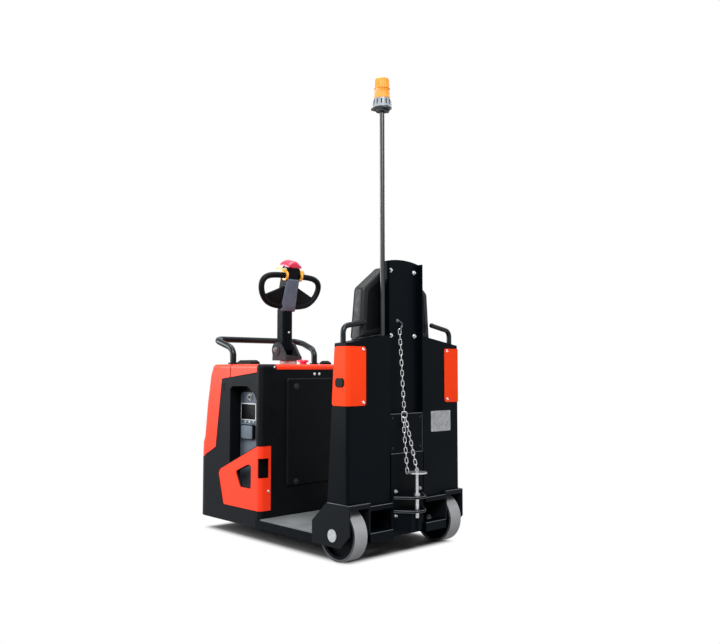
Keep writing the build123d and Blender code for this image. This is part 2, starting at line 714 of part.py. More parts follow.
# Hand rail on the nose
RAIL_DIA = 36.0
RAIL_X = FRONT - 197.0
RAIL_HALF = HALF - 101.0
RAIL_SPLAY = 20.0
RAIL_KNEE = 1008.0
RAIL_FRONT = FRONT - 26.0
RAIL_TOP = 1066.0
RAIL_BEND = 55.0
RAIL_FLANGE = 56.0
with BuildPart() as hand_rail:
    with BuildLine() as rail_path:
        FilletPolyline(
            (RAIL_X, RAIL_HALF, COVER_TOP),
            (RAIL_X, RAIL_HALF, RAIL_KNEE),
            (RAIL_FRONT, RAIL_HALF + RAIL_SPLAY, RAIL_TOP),
            (RAIL_FRONT, -RAIL_HALF - RAIL_SPLAY, RAIL_TOP),
            (RAIL_X, -RAIL_HALF, RAIL_KNEE),
            (RAIL_X, -RAIL_HALF, COVER_TOP),
            radius=RAIL_BEND,
        )
    with BuildSketch(Plane.XY.offset(COVER_TOP)):
        with Locations((RAIL_X, RAIL_HALF)):
            Circle(RAIL_DIA / 2)
    sweep(path=rail_path.line)
    with BuildSketch(Plane.XY.offset(COVER_TOP)):
        with Locations((RAIL_X, RAIL_HALF), (RAIL_X, -RAIL_HALF)):
            Circle(RAIL_FLANGE / 2)
    extrude(amount=12)

# Things on the top cover
POD_LENGTH = 170.0
SHORT_POD_LENGTH = 76.0
POD_WIDTH = 64.0
POD_HEIGHT = 24.0
POD_X = STEER_X - 2.0
POD_Y = RAIL_HALF - 17.0
with BuildPart() as display_pods:
    with BuildSketch(Plane.XY.offset(COVER_TOP)):
        with Locations((POD_X, POD_Y)):
            SlotOverall(POD_LENGTH, POD_WIDTH)
        with Locations((POD_X, -POD_Y)):
            SlotOverall(SHORT_POD_LENGTH, POD_WIDTH)
    extrude(amount=POD_HEIGHT)
    chamfer(display_pods.faces().filter_by(Axis.Z).group_by(Axis.Z)[-1].edges(), 12, 16)

STOP_X = BODY_REAR + 95.0
STOP_Y = 38.0
with BuildPart() as emergency_stop:
    with BuildSketch(Plane.XY.offset(COVER_TOP)):
        with Locations((STOP_X, STOP_Y)):
            Circle(20)
    extrude(amount=12)
    with BuildSketch(Plane.XY.offset(COVER_TOP + 12)):
        with Locations((STOP_X, STOP_Y)):
            Circle(30)
    extrude(amount=14)
    fillet(emergency_stop.faces().sort_by(Axis.Z)[-1].edges(), 8)

# Tiller base: collar, block, two cheeks and the tilt pin
TILT_X = STEER_X + 36.0
TILT_Z = 1004.0
TILT_PIN = 24.0
CHEEK_RADIUS = 43.0
CHEEK_OUT = 60.0
CHEEK_THICK = 18.0
BOSS_THICK = 5.0
BLOCK_LOW = COLLAR_LOW + 22.0
BLOCK_TOP = 966.0
BLOCK_REAR = STEER_X - 58.0
BLOCK_FRONT = TILT_X + 46.0
COLLAR_DIA = 94.0
with BuildPart() as tiller_base:
    with BuildSketch(Plane.XY.offset(COLLAR_LOW)):
        with Locations((STEER_X, 0)):
            Circle(COLLAR_DIA / 2)
    extrude(amount=BLOCK_LOW - COLLAR_LOW)
    with BuildSketch(Plane.XY.offset(BLOCK_LOW)):
        with Locations(((BLOCK_REAR + BLOCK_FRONT) / 2, 0)):
            RectangleRounded(BLOCK_FRONT - BLOCK_REAR, 2 * CHEEK_OUT, 12)
    extrude(amount=BLOCK_TOP - BLOCK_LOW)
    for face in (CHEEK_OUT, CHEEK_THICK - CHEEK_OUT):
        with BuildSketch(left_plane(face)):
            with Locations((TILT_X, TILT_Z)):
                Circle(CHEEK_RADIUS)
            with Locations(((BLOCK_REAR + BLOCK_FRONT) / 2, BLOCK_TOP - 4)):
                Rectangle(BLOCK_FRONT - BLOCK_REAR - 26, 8)
            make_hull()
        extrude(amount=CHEEK_THICK)
    with BuildSketch(left_plane(CHEEK_OUT)):
        with Locations((TILT_X, TILT_Z)):
            Circle(TILT_PIN / 2)
    extrude(amount=2 * CHEEK_OUT)
    for face in (CHEEK_OUT + BOSS_THICK, -CHEEK_OUT):
        with BuildSketch(left_plane(face)):
            with Locations((TILT_X, TILT_Z)):
                Circle(CHEEK_RADIUS - 9)
        extrude(amount=BOSS_THICK)

# Tiller arm
ARM_DEPTH = 76.0
ARM_WIDTH = 72.0
ARM_TOP = 1240.0
ARM_EYE = 31.0
with BuildPart() as tiller_arm:
    with BuildSketch(Plane.XY.offset(TILT_Z)):
        with Locations((TILT_X, 0)):
            RectangleRounded(ARM_DEPTH, ARM_WIDTH, 20)
    extrude(amount=ARM_TOP - TILT_Z)
    with BuildSketch(left_plane(ARM_WIDTH / 2)):
        with Locations((TILT_X, TILT_Z)):
            Circle(ARM_EYE)
    extrude(amount=ARM_WIDTH)
    with BuildSketch(left_plane(ARM_WIDTH)):
        with Locations((TILT_X, TILT_Z)):
            Circle(TILT_PIN / 2 + RUN_GAP)
    extrude(amount=2 * ARM_WIDTH, mode=Mode.SUBTRACT)

# Tiller head: leaning body, two grip loops and their webs
HEAD_LEAN = 15.0
HEAD_WIDTH = 92.0
HEAD_DEPTH = 58.0
HEAD_TALL = 254.0
GRIP_DIA = 34.0
GRIP_BEND = 48.0
GRIP_HALF = 208.0
WEB_THICK = 16.0
lean = math.radians(HEAD_LEAN)
head_plane = Plane(
    origin=(TILT_X, 0, ARM_TOP),
    x_dir=(0, 1, 0),
    z_dir=(math.cos(lean), 0, math.sin(lean)),
)
head_axis = Axis(head_plane.origin, head_plane.z_dir)
GRIP_TOP = (HEAD_WIDTH / 2 - 4, 200.0)
GRIP_SHOULDER = (GRIP_HALF - 6, 178.0)
GRIP_OUT = (GRIP_HALF, 66.0)
GRIP_HEEL = (GRIP_HALF - 74, 16.0)
GRIP_LOW = (HEAD_WIDTH / 2 - 4, 4.0)
GRIP_REAR = -11.0
grip_plane = head_plane.offset(GRIP_REAR)
with BuildPart() as tiller_head:
    with BuildSketch(head_plane.offset(-HEAD_DEPTH / 2)):
        with Locations((0, HEAD_TALL / 2)):
            RectangleRounded(HEAD_WIDTH, HEAD_TALL, 14)
    extrude(amount=HEAD_DEPTH)
    fillet(tiller_head.faces().sort_by(head_axis)[0].edges(), 8)
    with BuildSketch(grip_plane.offset(-WEB_THICK / 2)):
        with BuildLine():
            Polyline(
                GRIP_LOW,
                GRIP_HEEL,
                (GRIP_OUT[0] - 26, GRIP_OUT[1] - 6),
                (GRIP_OUT[0] - 4, GRIP_OUT[1] + 26),
                (HEAD_WIDTH / 2 - 4, 146),
                close=True,
            )
        make_face()
        mirror(about=Plane.YZ)
    extrude(amount=WEB_THICK)
    for side in (1, -1):
        with BuildLine(grip_plane) as grip_path:
            FilletPolyline(
                (side * GRIP_TOP[0], GRIP_TOP[1]),
                (side * GRIP_SHOULDER[0], GRIP_SHOULDER[1]),
                (side * GRIP_OUT[0], GRIP_OUT[1]),
                (side * GRIP_HEEL[0], GRIP_HEEL[1]),
                (side * GRIP_LOW[0], GRIP_LOW[1]),
                radius=GRIP_BEND,
            )
        with BuildSketch(Plane(origin=grip_path.line @ 0, z_dir=grip_path.line % 0)):
            Circle(GRIP_DIA / 2)
        sweep(path=grip_path.line)
    with BuildSketch(Plane.XY.offset(ARM_TOP - 200)):
        with Locations((TILT_X, 0)):
            Rectangle(200, 200)
    extrude(amount=200, mode=Mode.SUBTRACT)

# Grey cover on the driver's side of the head
COVER_THICK = 12.0
with BuildPart() as head_cover:
    with BuildSketch(head_plane.offset(-HEAD_DEPTH / 2)):
        with Locations((0, HEAD_TALL / 2 - 36)):
            RectangleRounded(HEAD_WIDTH - 6, HEAD_TALL - 62, 12)
    extrude(amount=-COVER_THICK)
    fillet(head_cover.faces().sort_by(head_axis)[0].edges(), 6)
    with BuildSketch(Plane.XY.offset(ARM_TOP + SEAM)):
        with Locations((TILT_X, 0)):
            RectangleRounded(ARM_DEPTH + 2 * SEAM, ARM_WIDTH + 2 * SEAM, 20)
    extrude(amount=-ARM_TOP, mode=Mode.SUBTRACT)

# Red reversing button on the head's end
BUTTON_TALL = 36.0
BUTTON_RIM = 10.0
BUTTON_HALF = HEAD_WIDTH / 2 + 8
BUTTON_DEPTH = 66.0
with BuildPart() as belly_button:
    with BuildSketch(head_plane.offset(-BUTTON_DEPTH / 2)):
        with BuildLine():
            Line((-BUTTON_HALF, HEAD_TALL), (BUTTON_HALF, HEAD_TALL))
            Line((BUTTON_HALF, HEAD_TALL), (BUTTON_HALF, HEAD_TALL + BUTTON_RIM))
            ThreePointArc(
                (BUTTON_HALF, HEAD_TALL + BUTTON_RIM),
                (0, HEAD_TALL + BUTTON_TALL),
                (-BUTTON_HALF, HEAD_TALL + BUTTON_RIM),
            )
            Line((-BUTTON_HALF, HEAD_TALL + BUTTON_RIM), (-BUTTON_HALF, HEAD_TALL))
        make_face()
    extrude(amount=BUTTON_DEPTH)
    fillet(belly_button.faces().sort_by(head_axis)[-1].edges().sort_by(Axis.Z)[-1], 16)
    fillet(belly_button.faces().sort_by(head_axis)[0].edges().sort_by(Axis.Z)[-1], 10)

# Thumb wheels round the inner ends of the grips
THUMB_DIA = 58.0
THUMB_THICK = 15.0
PADDLE_REACH = 50.0
PADDLE_TALL = 26.0
with BuildPart() as thumb_wheels:
    for side in (1, -1):
        reach = HEAD_WIDTH / 2 + 6
        drop = (reach - GRIP_TOP[0]) * (GRIP_TOP[1] - GRIP_SHOULDER[1]) / (GRIP_SHOULDER[0] - GRIP_TOP[0])
        start = grip_plane.from_local_coords((side * reach, GRIP_TOP[1] - drop, 0))
        along = grip_plane.from_local_coords((side * GRIP_SHOULDER[0], GRIP_SHOULDER[1], 0))
        with BuildSketch(Plane(origin=start, x_dir=-head_plane.z_dir, z_dir=along - start)):
            Circle(THUMB_DIA / 2)
            with Locations((PADDLE_REACH / 2, 0)):
                SlotOverall(PADDLE_REACH, PADDLE_TALL)
            Circle(GRIP_DIA / 2 + RUN_GAP, mode=Mode.SUBTRACT)
        extrude(amount=THUMB_THICK)

# Rear column wings: rear sheet, outer side, inner side and sloping roof


def roof_line(y):
    """Height of the column roof at distance y from the middle."""
    return COL_TOP_IN - (y - CHANNEL_HALF) * (COL_TOP_IN - COL_TOP_OUT) / (COL_HALF - CHANNEL_HALF)


def roof_cut(drop):
    """Region above the sloping column roof, lowered by drop, as a Y and Z sketch."""
    with BuildSketch(Plane.YZ) as above:
        with BuildLine():
            Polyline(
                (CHANNEL_HALF - 10, roof_line(CHANNEL_HALF - 10) - drop),
                (COL_HALF, COL_TOP_OUT - drop),
                (COL_HALF + 20, COL_TOP_OUT - drop),
                (COL_HALF + 20, COL_TOP_IN + 200),
                (CHANNEL_HALF - 10, COL_TOP_IN + 200),
                close=True,
            )
        make_face()
    return above


roof_outer = roof_cut(0)
roof_inner = roof_cut(COL_SHEET)
ROOF_Z = COL_TOP_IN + 20
POLE_DIA = 24.0
POLE_X = COL_REAR + 26.0
POLE_Y = CHANNEL_HALF + COL_SHEET + POLE_DIA / 2 + 4.0
with BuildPart() as wing_core:
    with BuildSketch(left_plane(COL_HALF - COL_SHEET)):
        with BuildLine():
            Polyline(
                (COL_REAR + COL_SHEET, 0),
                (COL_FOOT_X + 200, 0),
                (COL_FOOT_X + 200, ROOF_Z + 50),
                (COL_REAR + COL_SHEET, ROOF_Z + 50),
                close=True,
            )
        make_face()
    extrude(amount=COL_HALF - CHANNEL_HALF - 2 * COL_SHEET)
    extrude(roof_inner.sketch, amount=2 * LENGTH, both=True, mode=Mode.SUBTRACT)
with BuildPart() as column_wings:
    with BuildSketch(left_plane(COL_HALF)):
        with BuildLine():
            Polyline(
                (COL_REAR, GUARD_TOP),
                (COL_FOOT_X - COL_SHEET, GUARD_TOP),
                (front_line(ROOF_Z) - COL_SHEET, ROOF_Z),
                (COL_REAR, ROOF_Z),
                close=True,
            )
        make_face()
    extrude(amount=COL_HALF - CHANNEL_HALF)
    with BuildSketch(Plane.XY.offset(BEAM_TOP)):
        with Locations(((COL_REAR + COL_FOOT_X - COL_SHEET) / 2, (CHANNEL_HALF + GUARD_INNER) / 2)):
            Rectangle(COL_FOOT_X - COL_SHEET - COL_REAR, GUARD_INNER - CHANNEL_HALF)
    extrude(amount=GUARD_TOP - BEAM_TOP)
    corner = column_wings.edges().filter_by(Axis.Z).group_by(Axis.Y)[-1].sort_by(Axis.X)[0]
    fillet(corner, COL_CORNER)
    extrude(roof_outer.sketch, amount=2 * LENGTH, both=True, mode=Mode.SUBTRACT)
    add(wing_core.part, mode=Mode.SUBTRACT)
    with BuildSketch(Plane.XY.offset(COL_TOP_OUT - 40)):
        with Locations((POLE_X, POLE_Y)):
            Circle(POLE_DIA / 2 + PRESS_GAP)
    extrude(amount=200, mode=Mode.SUBTRACT)
    mirror(about=Plane.XZ)

# Front panel of the column, from the deck up
with BuildPart() as column_panel:
    with BuildSketch(left_plane(COL_HALF)):
        with BuildLine():
            Polyline(
                (COL_FOOT_X, GUARD_TOP),
                (front_line(ROOF_Z), ROOF_Z),
                (front_line(ROOF_Z) - COL_SHEET, ROOF_Z),
                (COL_FOOT_X - COL_SHEET, GUARD_TOP),
                close=True,
            )
        make_face()
    extrude(amount=COL_HALF)
    with BuildSketch(Plane.XY.offset(PAN_TOP)):
        with Locations((COL_FOOT_X - COL_SHEET / 2, (GUARD_INNER - 0.5) / 2)):
            Rectangle(COL_SHEET, GUARD_INNER - 0.5)
    extrude(amount=GUARD_TOP - PAN_TOP)
    extrude(roof_outer.sketch, amount=2 * LENGTH, both=True, mode=Mode.SUBTRACT)
    with BuildSketch(Plane.XY.offset(COL_TOP_IN - 60)):
        with Locations((COL_HEAD_X, 0)):
            Rectangle(200, 2 * CHANNEL_HALF)
    extrude(amount=200, mode=Mode.SUBTRACT)
    mirror(about=Plane.XZ)

# Back plate: channel open to the rear, with an arched top
WEB_FACE = REAR + 45.0
PLATE_TOP = 1421.0
PLATE_ARCH = 14.0
PLATE_LOW = 486.0
CHANNEL_OUT = CHANNEL_HALF - 0.5
with BuildPart() as back_plate:
    with BuildSketch(Plane.YZ.offset(WEB_FACE)):
        with BuildLine():
            Line((-CHANNEL_OUT, PLATE_LOW), (CHANNEL_OUT, PLATE_LOW))
            Line((CHANNEL_OUT, PLATE_LOW), (CHANNEL_OUT, PLATE_TOP))
            ThreePointArc((CHANNEL_OUT, PLATE_TOP), (0, PLATE_TOP + PLATE_ARCH), (-CHANNEL_OUT, PLATE_TOP))
            Line((-CHANNEL_OUT, PLATE_TOP), (-CHANNEL_OUT, PLATE_LOW))
        make_face()
    extrude(amount=COL_SHEET)
    with BuildSketch(Plane.XY.offset(PLATE_LOW)):
        for side in (1, -1):
            with Locations(((COL_REAR + WEB_FACE) / 2, side * (CHANNEL_OUT - COL_SHEET / 2))):
                Rectangle(WEB_FACE - COL_REAR, COL_SHEET)
    extrude(amount=PLATE_TOP - PLATE_LOW)

# Cover over the lower part of the channel
LID_TOP = 675.0
LID_LOW = PLATE_LOW + 1.0
LID_HALF = CHANNEL_OUT - COL_SHEET - 0.5
with BuildPart() as channel_lid:
    with BuildSketch(Plane.XY.offset(LID_LOW)):
        with Locations((COL_REAR + 3 + 2, 0)):
            Rectangle(4, 2 * LID_HALF)
        for side in (1, -1):
            with Locations(((COL_REAR + 7 + WEB_FACE) / 2, side * (LID_HALF - 2))):
                Rectangle(WEB_FACE - COL_REAR - 7, 4)
    extrude(amount=LID_TOP - LID_LOW)

# Tow coupling: plate on the frame, two jaw plates and the box below
JAW_HIGH = 282.0
JAW_LOW = 217.0
JAW_PLATE = 10.0
JAW_TIP = REAR - 78.0
JAW_TIP_HALF = 42.0
JAW_ROOT_HALF = 104.0
BOX_LOW = 115.0
PIN_DIA = 20.0
PIN_X = REAR - PIN_SETBACK
HITCH_TOP = PLATE_LOW - 1.0
HITCH_LOW = 100.0
with BuildPart() as tow_coupling:
    with BuildSketch(Plane.YZ.offset(HITCH_FACE)):
        with Locations((0, (HITCH_LOW + HITCH_TOP) / 2)):
            Rectangle(2 * HITCH_HALF, HITCH_TOP - HITCH_LOW)
    extrude(amount=HITCH_PLATE)
    for top in (JAW_HIGH, JAW_LOW):
        with BuildSketch(Plane.XY.offset(top - JAW_PLATE)):
            with BuildLine():
                Polyline(
                    (HITCH_FACE, JAW_ROOT_HALF),
                    (JAW_TIP + 26, JAW_TIP_HALF + 10),
                    (JAW_TIP, JAW_TIP_HALF - 14),
                    (JAW_TIP, 14 - JAW_TIP_HALF),
                    (JAW_TIP + 26, -JAW_TIP_HALF - 10),
                    (HITCH_FACE, -JAW_ROOT_HALF),
                    close=True,
                )
            make_face()
            with Locations((PIN_X, 0)):
                Circle(PIN_DIA / 2 + RUN_GAP, mode=Mode.SUBTRACT)
        extrude(amount=JAW_PLATE)
    with BuildSketch(Plane.XY.offset(BOX_LOW)):
        with BuildLine():
            Polyline(
                (HITCH_FACE, JAW_ROOT_HALF - 16),
                (JAW_TIP + 34, JAW_TIP_HALF - 6),
                (JAW_TIP + 34, 6 - JAW_TIP_HALF),
                (HITCH_FACE, 16 - JAW_ROOT_HALF),
                close=True,
            )
        make_face()
        with Locations((PIN_X, 0)):
            Circle(PIN_DIA / 2 + RUN_GAP, mode=Mode.SUBTRACT)
    extrude(amount=JAW_LOW - JAW_PLATE - BOX_LOW)

# Tow pin with its seat collar, round handle and eye
PIN_LOW = 179.0
PIN_NECK = 16.0
DISC_Z = 391.0
DISC_THICK = 6.0
EYE_RADIUS = 11.0
EYE_WIRE = 5.0
DISC_HOLE = (24.0, 30.0)
DISC_HOLE_DIA = 10.0
with BuildPart() as tow_pin:
    with BuildSketch(Plane.XY.offset(PIN_LOW)):
        with Locations((PIN_X, 0)):
            Circle(PIN_DIA / 2)
    extrude(amount=JAW_HIGH - PIN_LOW)
    with BuildSketch(Plane.XY.offset(JAW_HIGH)):
        with Locations((PIN_X, 0)):
            Circle(PIN_DIA / 2 + 5)
    extrude(amount=14)
    with BuildSketch(Plane.XY.offset(JAW_HIGH + 14)):
        with Locations((PIN_X, 0)):
            Circle(PIN_NECK / 2)
    extrude(amount=DISC_Z - JAW_HIGH - 14)
    with BuildSketch(Plane.XY.offset(DISC_Z)):
        with Locations((PIN_X, 0)):
            Circle(PIN_DISC_DIA / 2)
        with Locations((PIN_X + DISC_HOLE[0], DISC_HOLE[1])):
            Circle(DISC_HOLE_DIA / 2, mode=Mode.SUBTRACT)
    extrude(amount=DISC_THICK)
    with BuildSketch(Plane.YZ.offset(PIN_X)):
        with Locations((0, DISC_Z + DISC_THICK + EYE_RADIUS - 1)):
            Circle(EYE_RADIUS)
            Circle(EYE_RADIUS - EYE_WIRE, mode=Mode.SUBTRACT)
        with Locations((0, DISC_Z + DISC_THICK / 2)):
            Rectangle(2 * EYE_RADIUS, DISC_THICK, mode=Mode.SUBTRACT)
    extrude(amount=EYE_WIRE / 2, both=True)

# Chain: hook on the back plate, one strand to a master link, two legs to the pin
LINK_PITCH = 24.0
LINK_WIRE = 4.5
LINK_WIDE = 19.0
LINK_SLACK = 0.6
MASTER_WIDE = 34.0
LEG_SPREAD = 6.5
SEAT_LEAD = (LINK_SLACK + LINK_WIRE) / 2
EYE_Z = DISC_Z + DISC_THICK + EYE_RADIUS - 1
HOLE_REACH = math.hypot(*DISC_HOLE)
RIM_SEAT = HOLE_REACH + (LINK_WIDE - LINK_WIRE) / 2
RIM_DIR = Vector(DISC_HOLE[0] / HOLE_REACH, DISC_HOLE[1] / HOLE_REACH, 0)
HOOK_AT = Vector(WEB_FACE - 14, 36, 1088)
JOINT_AT = Vector(COL_REAR - 10, 30, 670)
EYE_AT = Vector(PIN_X, 0, EYE_Z + SEAT_LEAD)
RIM_AT = Vector(PIN_X, 0, DISC_Z - LINK_WIRE / 2 - 1 + SEAT_LEAD) + RIM_DIR * RIM_SEAT


def chain_link(centre, direction, wide_dir, pitch, wide):
    """One link as a flat eight-sided ring, long in direction and wide in wide_dir."""
    across = direction.cross(wide_dir).normalized()
    ring_plane = Plane(origin=centre, x_dir=direction, z_dir=across)
    inner = pitch + LINK_SLACK
    with BuildSketch(ring_plane.offset(-LINK_WIRE / 2)) as ring:
        Rectangle(inner + 2 * LINK_WIRE, wide)
        chamfer(ring.vertices(), LINK_WIDE * 0.3)
        Rectangle(inner, wide - 2 * LINK_WIRE, mode=Mode.SUBTRACT)
    extrude(ring.sketch, amount=LINK_WIRE)


def chain_strand(start, end, last_wide, odd):
    """Links from start to end, each a quarter turn on, the last one wide in last_wide."""
    run = end - start
    direction = run.normalized()
    count = int(run.length // LINK_PITCH)
    if (count % 2 == 1) != odd:
        count += 1
    pitch = run.length / count
    for index in range(count):
        turned = (count - 1 - index) % 2 == 1
        wide_dir = direction.cross(last_wide) if turned else last_wide
        chain_link(start + direction * (pitch * (index + 0.5)), direction, wide_dir, pitch, LINK_WIDE)


HOOK_WIRE = 6.0
HOOK_Z = HOOK_AT.Z - HOOK_WIRE / 2 - 0.2
HOOK_TIP = COL_REAR + 4.0
HOOK_STAND = 6.0
with BuildPart() as chain_hook:
    with BuildLine() as hook_path:
        FilletPolyline(
            (WEB_FACE, HOOK_AT.Y, HOOK_Z + 46),
            (WEB_FACE - HOOK_STAND, HOOK_AT.Y, HOOK_Z + 46),
            (WEB_FACE - HOOK_STAND, HOOK_AT.Y - 30, HOOK_Z + 24),
            (WEB_FACE - HOOK_STAND, HOOK_AT.Y, HOOK_Z),
            (HOOK_TIP, HOOK_AT.Y, HOOK_Z),
            (HOOK_TIP, HOOK_AT.Y, HOOK_Z + 20),
            radius=3.5,
        )
    with BuildSketch(Plane(origin=hook_path.line @ 0, z_dir=hook_path.line % 0)):
        Circle(HOOK_WIRE / 2)
    sweep(path=hook_path.line)

MASTER_LEAD = Vector(0, 0, LINK_PITCH / 2)
LEG_STEP = Vector(0, LEG_SPREAD, 0)
with BuildPart() as tow_chain:
    chain_strand(HOOK_AT, JOINT_AT + MASTER_LEAD, Vector(1, 0, 0), False)
    chain_link(JOINT_AT, Vector(0, 0, -1), Vector(0, 1, 0), LINK_PITCH, MASTER_WIDE)
    chain_strand(JOINT_AT - MASTER_LEAD - LEG_STEP, EYE_AT, Vector(1, 0, 0), True)
    chain_strand(JOINT_AT - MASTER_LEAD + LEG_STEP, RIM_AT, RIM_DIR, True)

# Orange corner covers on the column
COVER_SHEET = 4.0
COVER_LOW = 722.0
COVER_HIGH = 998.0
COVER_REAR_WIDTH = 119.0
COVER_ROUND = 14.0
with BuildPart() as corner_covers:
    with BuildSketch(Plane.XY.offset(COVER_LOW)) as cover_plan:
        with BuildLine():
            Polyline(
                (COL_REAR - COVER_SHEET, HALF - COVER_REAR_WIDTH),
                (COL_REAR - COVER_SHEET, COL_HALF + COVER_SHEET),
                (COL_FOOT_X, COL_HALF + COVER_SHEET),
                (COL_FOOT_X, COL_HALF),
                (COL_REAR, COL_HALF),
                (COL_REAR, HALF - COVER_REAR_WIDTH),
                close=True,
            )
        make_face()
        fillet(cover_plan.vertices().group_by(Axis.X)[0].sort_by(Axis.Y)[-1], COL_CORNER + COVER_SHEET)
        fillet(cover_plan.vertices().sort_by_distance((COL_REAR, COL_HALF))[0], COL_CORNER - 1)
    extrude(amount=COVER_HIGH - COVER_LOW)
    with BuildSketch(left_plane(HALF + 20)):
        with BuildLine():
            Polyline(
                (front_line(COVER_LOW) - 4, COVER_LOW),
                (front_line(COVER_HIGH) - 4, COVER_HIGH),
                (COL_FOOT_X + 40, COVER_HIGH),
                (COL_FOOT_X + 40, COVER_LOW),
                close=True,
            )
        make_face()
    extrude(amount=HALF, mode=Mode.SUBTRACT)
    fillet(corner_covers.edges().filter_by(Axis.X).group_by(Axis.Y)[0], COVER_ROUND)
    fillet(corner_covers.edges().filter_by(Axis.Y).sort_by(Axis.X)[-2:], COVER_ROUND)
    mirror(about=Plane.XZ)

# Inching buttons on the covers' sides
INCH_X = REAR + 66.0
INCH_Z = 830.0
with BuildPart() as inching_buttons:
    with BuildSketch(left_plane(COL_HALF + COVER_SHEET + 7)):
        with Locations((INCH_X, INCH_Z)):
            RectangleRounded(56, 42, 15)
    extrude(amount=7)
    chamfer(inching_buttons.faces().sort_by(Axis.Y)[-1].edges(), 2.5)
    mirror(about=Plane.XZ)

# Grab handles on the column roof
HANDLE_DIA = 26.0
HANDLE_X = REAR + 66.0
HANDLE_Y = COL_HALF - 16.0
HANDLE_KNEE = 1092.0
HANDLE_END_Y = 230.0
HANDLE_END_Z = 1120.0
with BuildPart() as grab_handles:
    with BuildLine() as handle_path:
        FilletPolyline(
            (HANDLE_X, HANDLE_Y, COL_TOP_OUT - 6),
            (HANDLE_X, HANDLE_Y, HANDLE_KNEE),
            (HANDLE_X, HANDLE_END_Y, HANDLE_END_Z),
            radius=36,
        )
    with BuildSketch(Plane.XY.offset(COL_TOP_OUT - 6)):
        with Locations((HANDLE_X, HANDLE_Y)):
            Circle(HANDLE_DIA / 2)
    sweep(path=handle_path.line)
    fillet(grab_handles.faces().sort_by(Axis.Y)[0].edges(), HANDLE_DIA / 2 - 2)
    add(wing_core.part, mode=Mode.SUBTRACT)
    with BuildSketch(Plane.YZ) as under_roof:
        with BuildLine():
            Polyline(
                (CHANNEL_HALF, COL_TOP_IN),
                (COL_HALF, COL_TOP_OUT),
                (COL_HALF, COL_TOP_OUT - 60),
                (CHANNEL_HALF, COL_TOP_OUT - 60),
                close=True,
            )
        make_face()
    extrude(amount=2 * LENGTH, both=True, mode=Mode.SUBTRACT)
    mirror(about=Plane.XZ)

# Backrest: board on the back plate and the cushion
BOARD_FRONT = REAR + 96.0
CUSHION_THICK = 54.0
CUSHION_HALF = 240.0
ROOF_GAP = 4.0
CUSHION_SHOULDER = 1284.0
CUSHION_TOP = 1394.0
CUSHION_TOP_HALF = 92.0


def backrest_outline(inset, low, low_mid):
    with BuildSketch(Plane.YZ.offset(BOARD_FRONT)) as outline:
        with BuildLine():
            Polyline(
                (inset - CUSHION_HALF, low),
                (-CHANNEL_HALF, low_mid),
                (CHANNEL_HALF, low_mid),
                (CUSHION_HALF - inset, low),
                (CUSHION_HALF - 8 - inset, CUSHION_SHOULDER - inset / 2),
                (CUSHION_TOP_HALF - inset / 2, CUSHION_TOP - inset),
                (inset / 2 - CUSHION_TOP_HALF, CUSHION_TOP - inset),
                (inset + 8 - CUSHION_HALF, CUSHION_SHOULDER - inset / 2),
                close=True,
            )
        make_face()
    return outline


BOARD_INSET = 12.0
board_low = roof_line(CUSHION_HALF - BOARD_INSET) + ROOF_GAP
board_face = backrest_outline(BOARD_INSET, board_low, COL_TOP_IN + ROOF_GAP)
cushion_face = backrest_outline(0.0, roof_line(CUSHION_HALF) + ROOF_GAP, COL_TOP_IN + ROOF_GAP)
with BuildPart() as backrest_board:
    extrude(board_face.sketch, amount=-12)
    with BuildSketch(Plane.YZ.offset(BOARD_FRONT - 12)):
        with Locations((0, (COL_TOP_IN + CUSHION_TOP) / 2)):
            Rectangle(2 * CHANNEL_HALF - 30, CUSHION_TOP - COL_TOP_IN - 70)
    extrude(amount=-(BOARD_FRONT - 12 - WEB_FACE - COL_SHEET))
with BuildPart() as backrest_cushion:
    extrude(cushion_face.sketch, amount=CUSHION_THICK)
    fillet(backrest_cushion.edges().filter_by(Axis.X), 22)
    fillet(backrest_cushion.faces().sort_by(Axis.X)[-1].edges(), 16)

# Beacon pole, base and lens
POLE_LOW = 980.0
POLE_TOP = 2160.0
with BuildPart() as beacon_pole:
    with BuildSketch(Plane.XY.offset(POLE_LOW)):
        with Locations((POLE_X, POLE_Y)):
            Circle(POLE_DIA / 2)
    extrude(amount=POLE_TOP - POLE_LOW)

LAMP_BASE = 62.0
LAMP_FOOT_DIA = 110.0
LAMP_BODY_DIA = 80.0
LENS_TALL = 106.0
LENS_Z = POLE_TOP + LAMP_BASE
with BuildPart() as beacon_base:
    with BuildSketch(Plane.XY.offset(POLE_TOP)):
        with Locations((POLE_X, POLE_Y)):
            Circle(LAMP_BODY_DIA / 2 - 8)
    extrude(amount=LAMP_BASE)
    with BuildSketch(Plane.XY.offset(POLE_TOP + 8)):
        with Locations((POLE_X, POLE_Y)):
            Circle(LAMP_BODY_DIA / 2 - 2)
            with PolarLocations(LAMP_FOOT_DIA / 2 - 10, 3, start_angle=43):
                Circle(10)
            make_hull()
    extrude(amount=9)
    with BuildSketch(Plane.XY.offset(POLE_TOP + 28)):
        with Locations((POLE_X, POLE_Y)):
            Circle(LAMP_BODY_DIA / 2)
    extrude(amount=LAMP_BASE - 28)

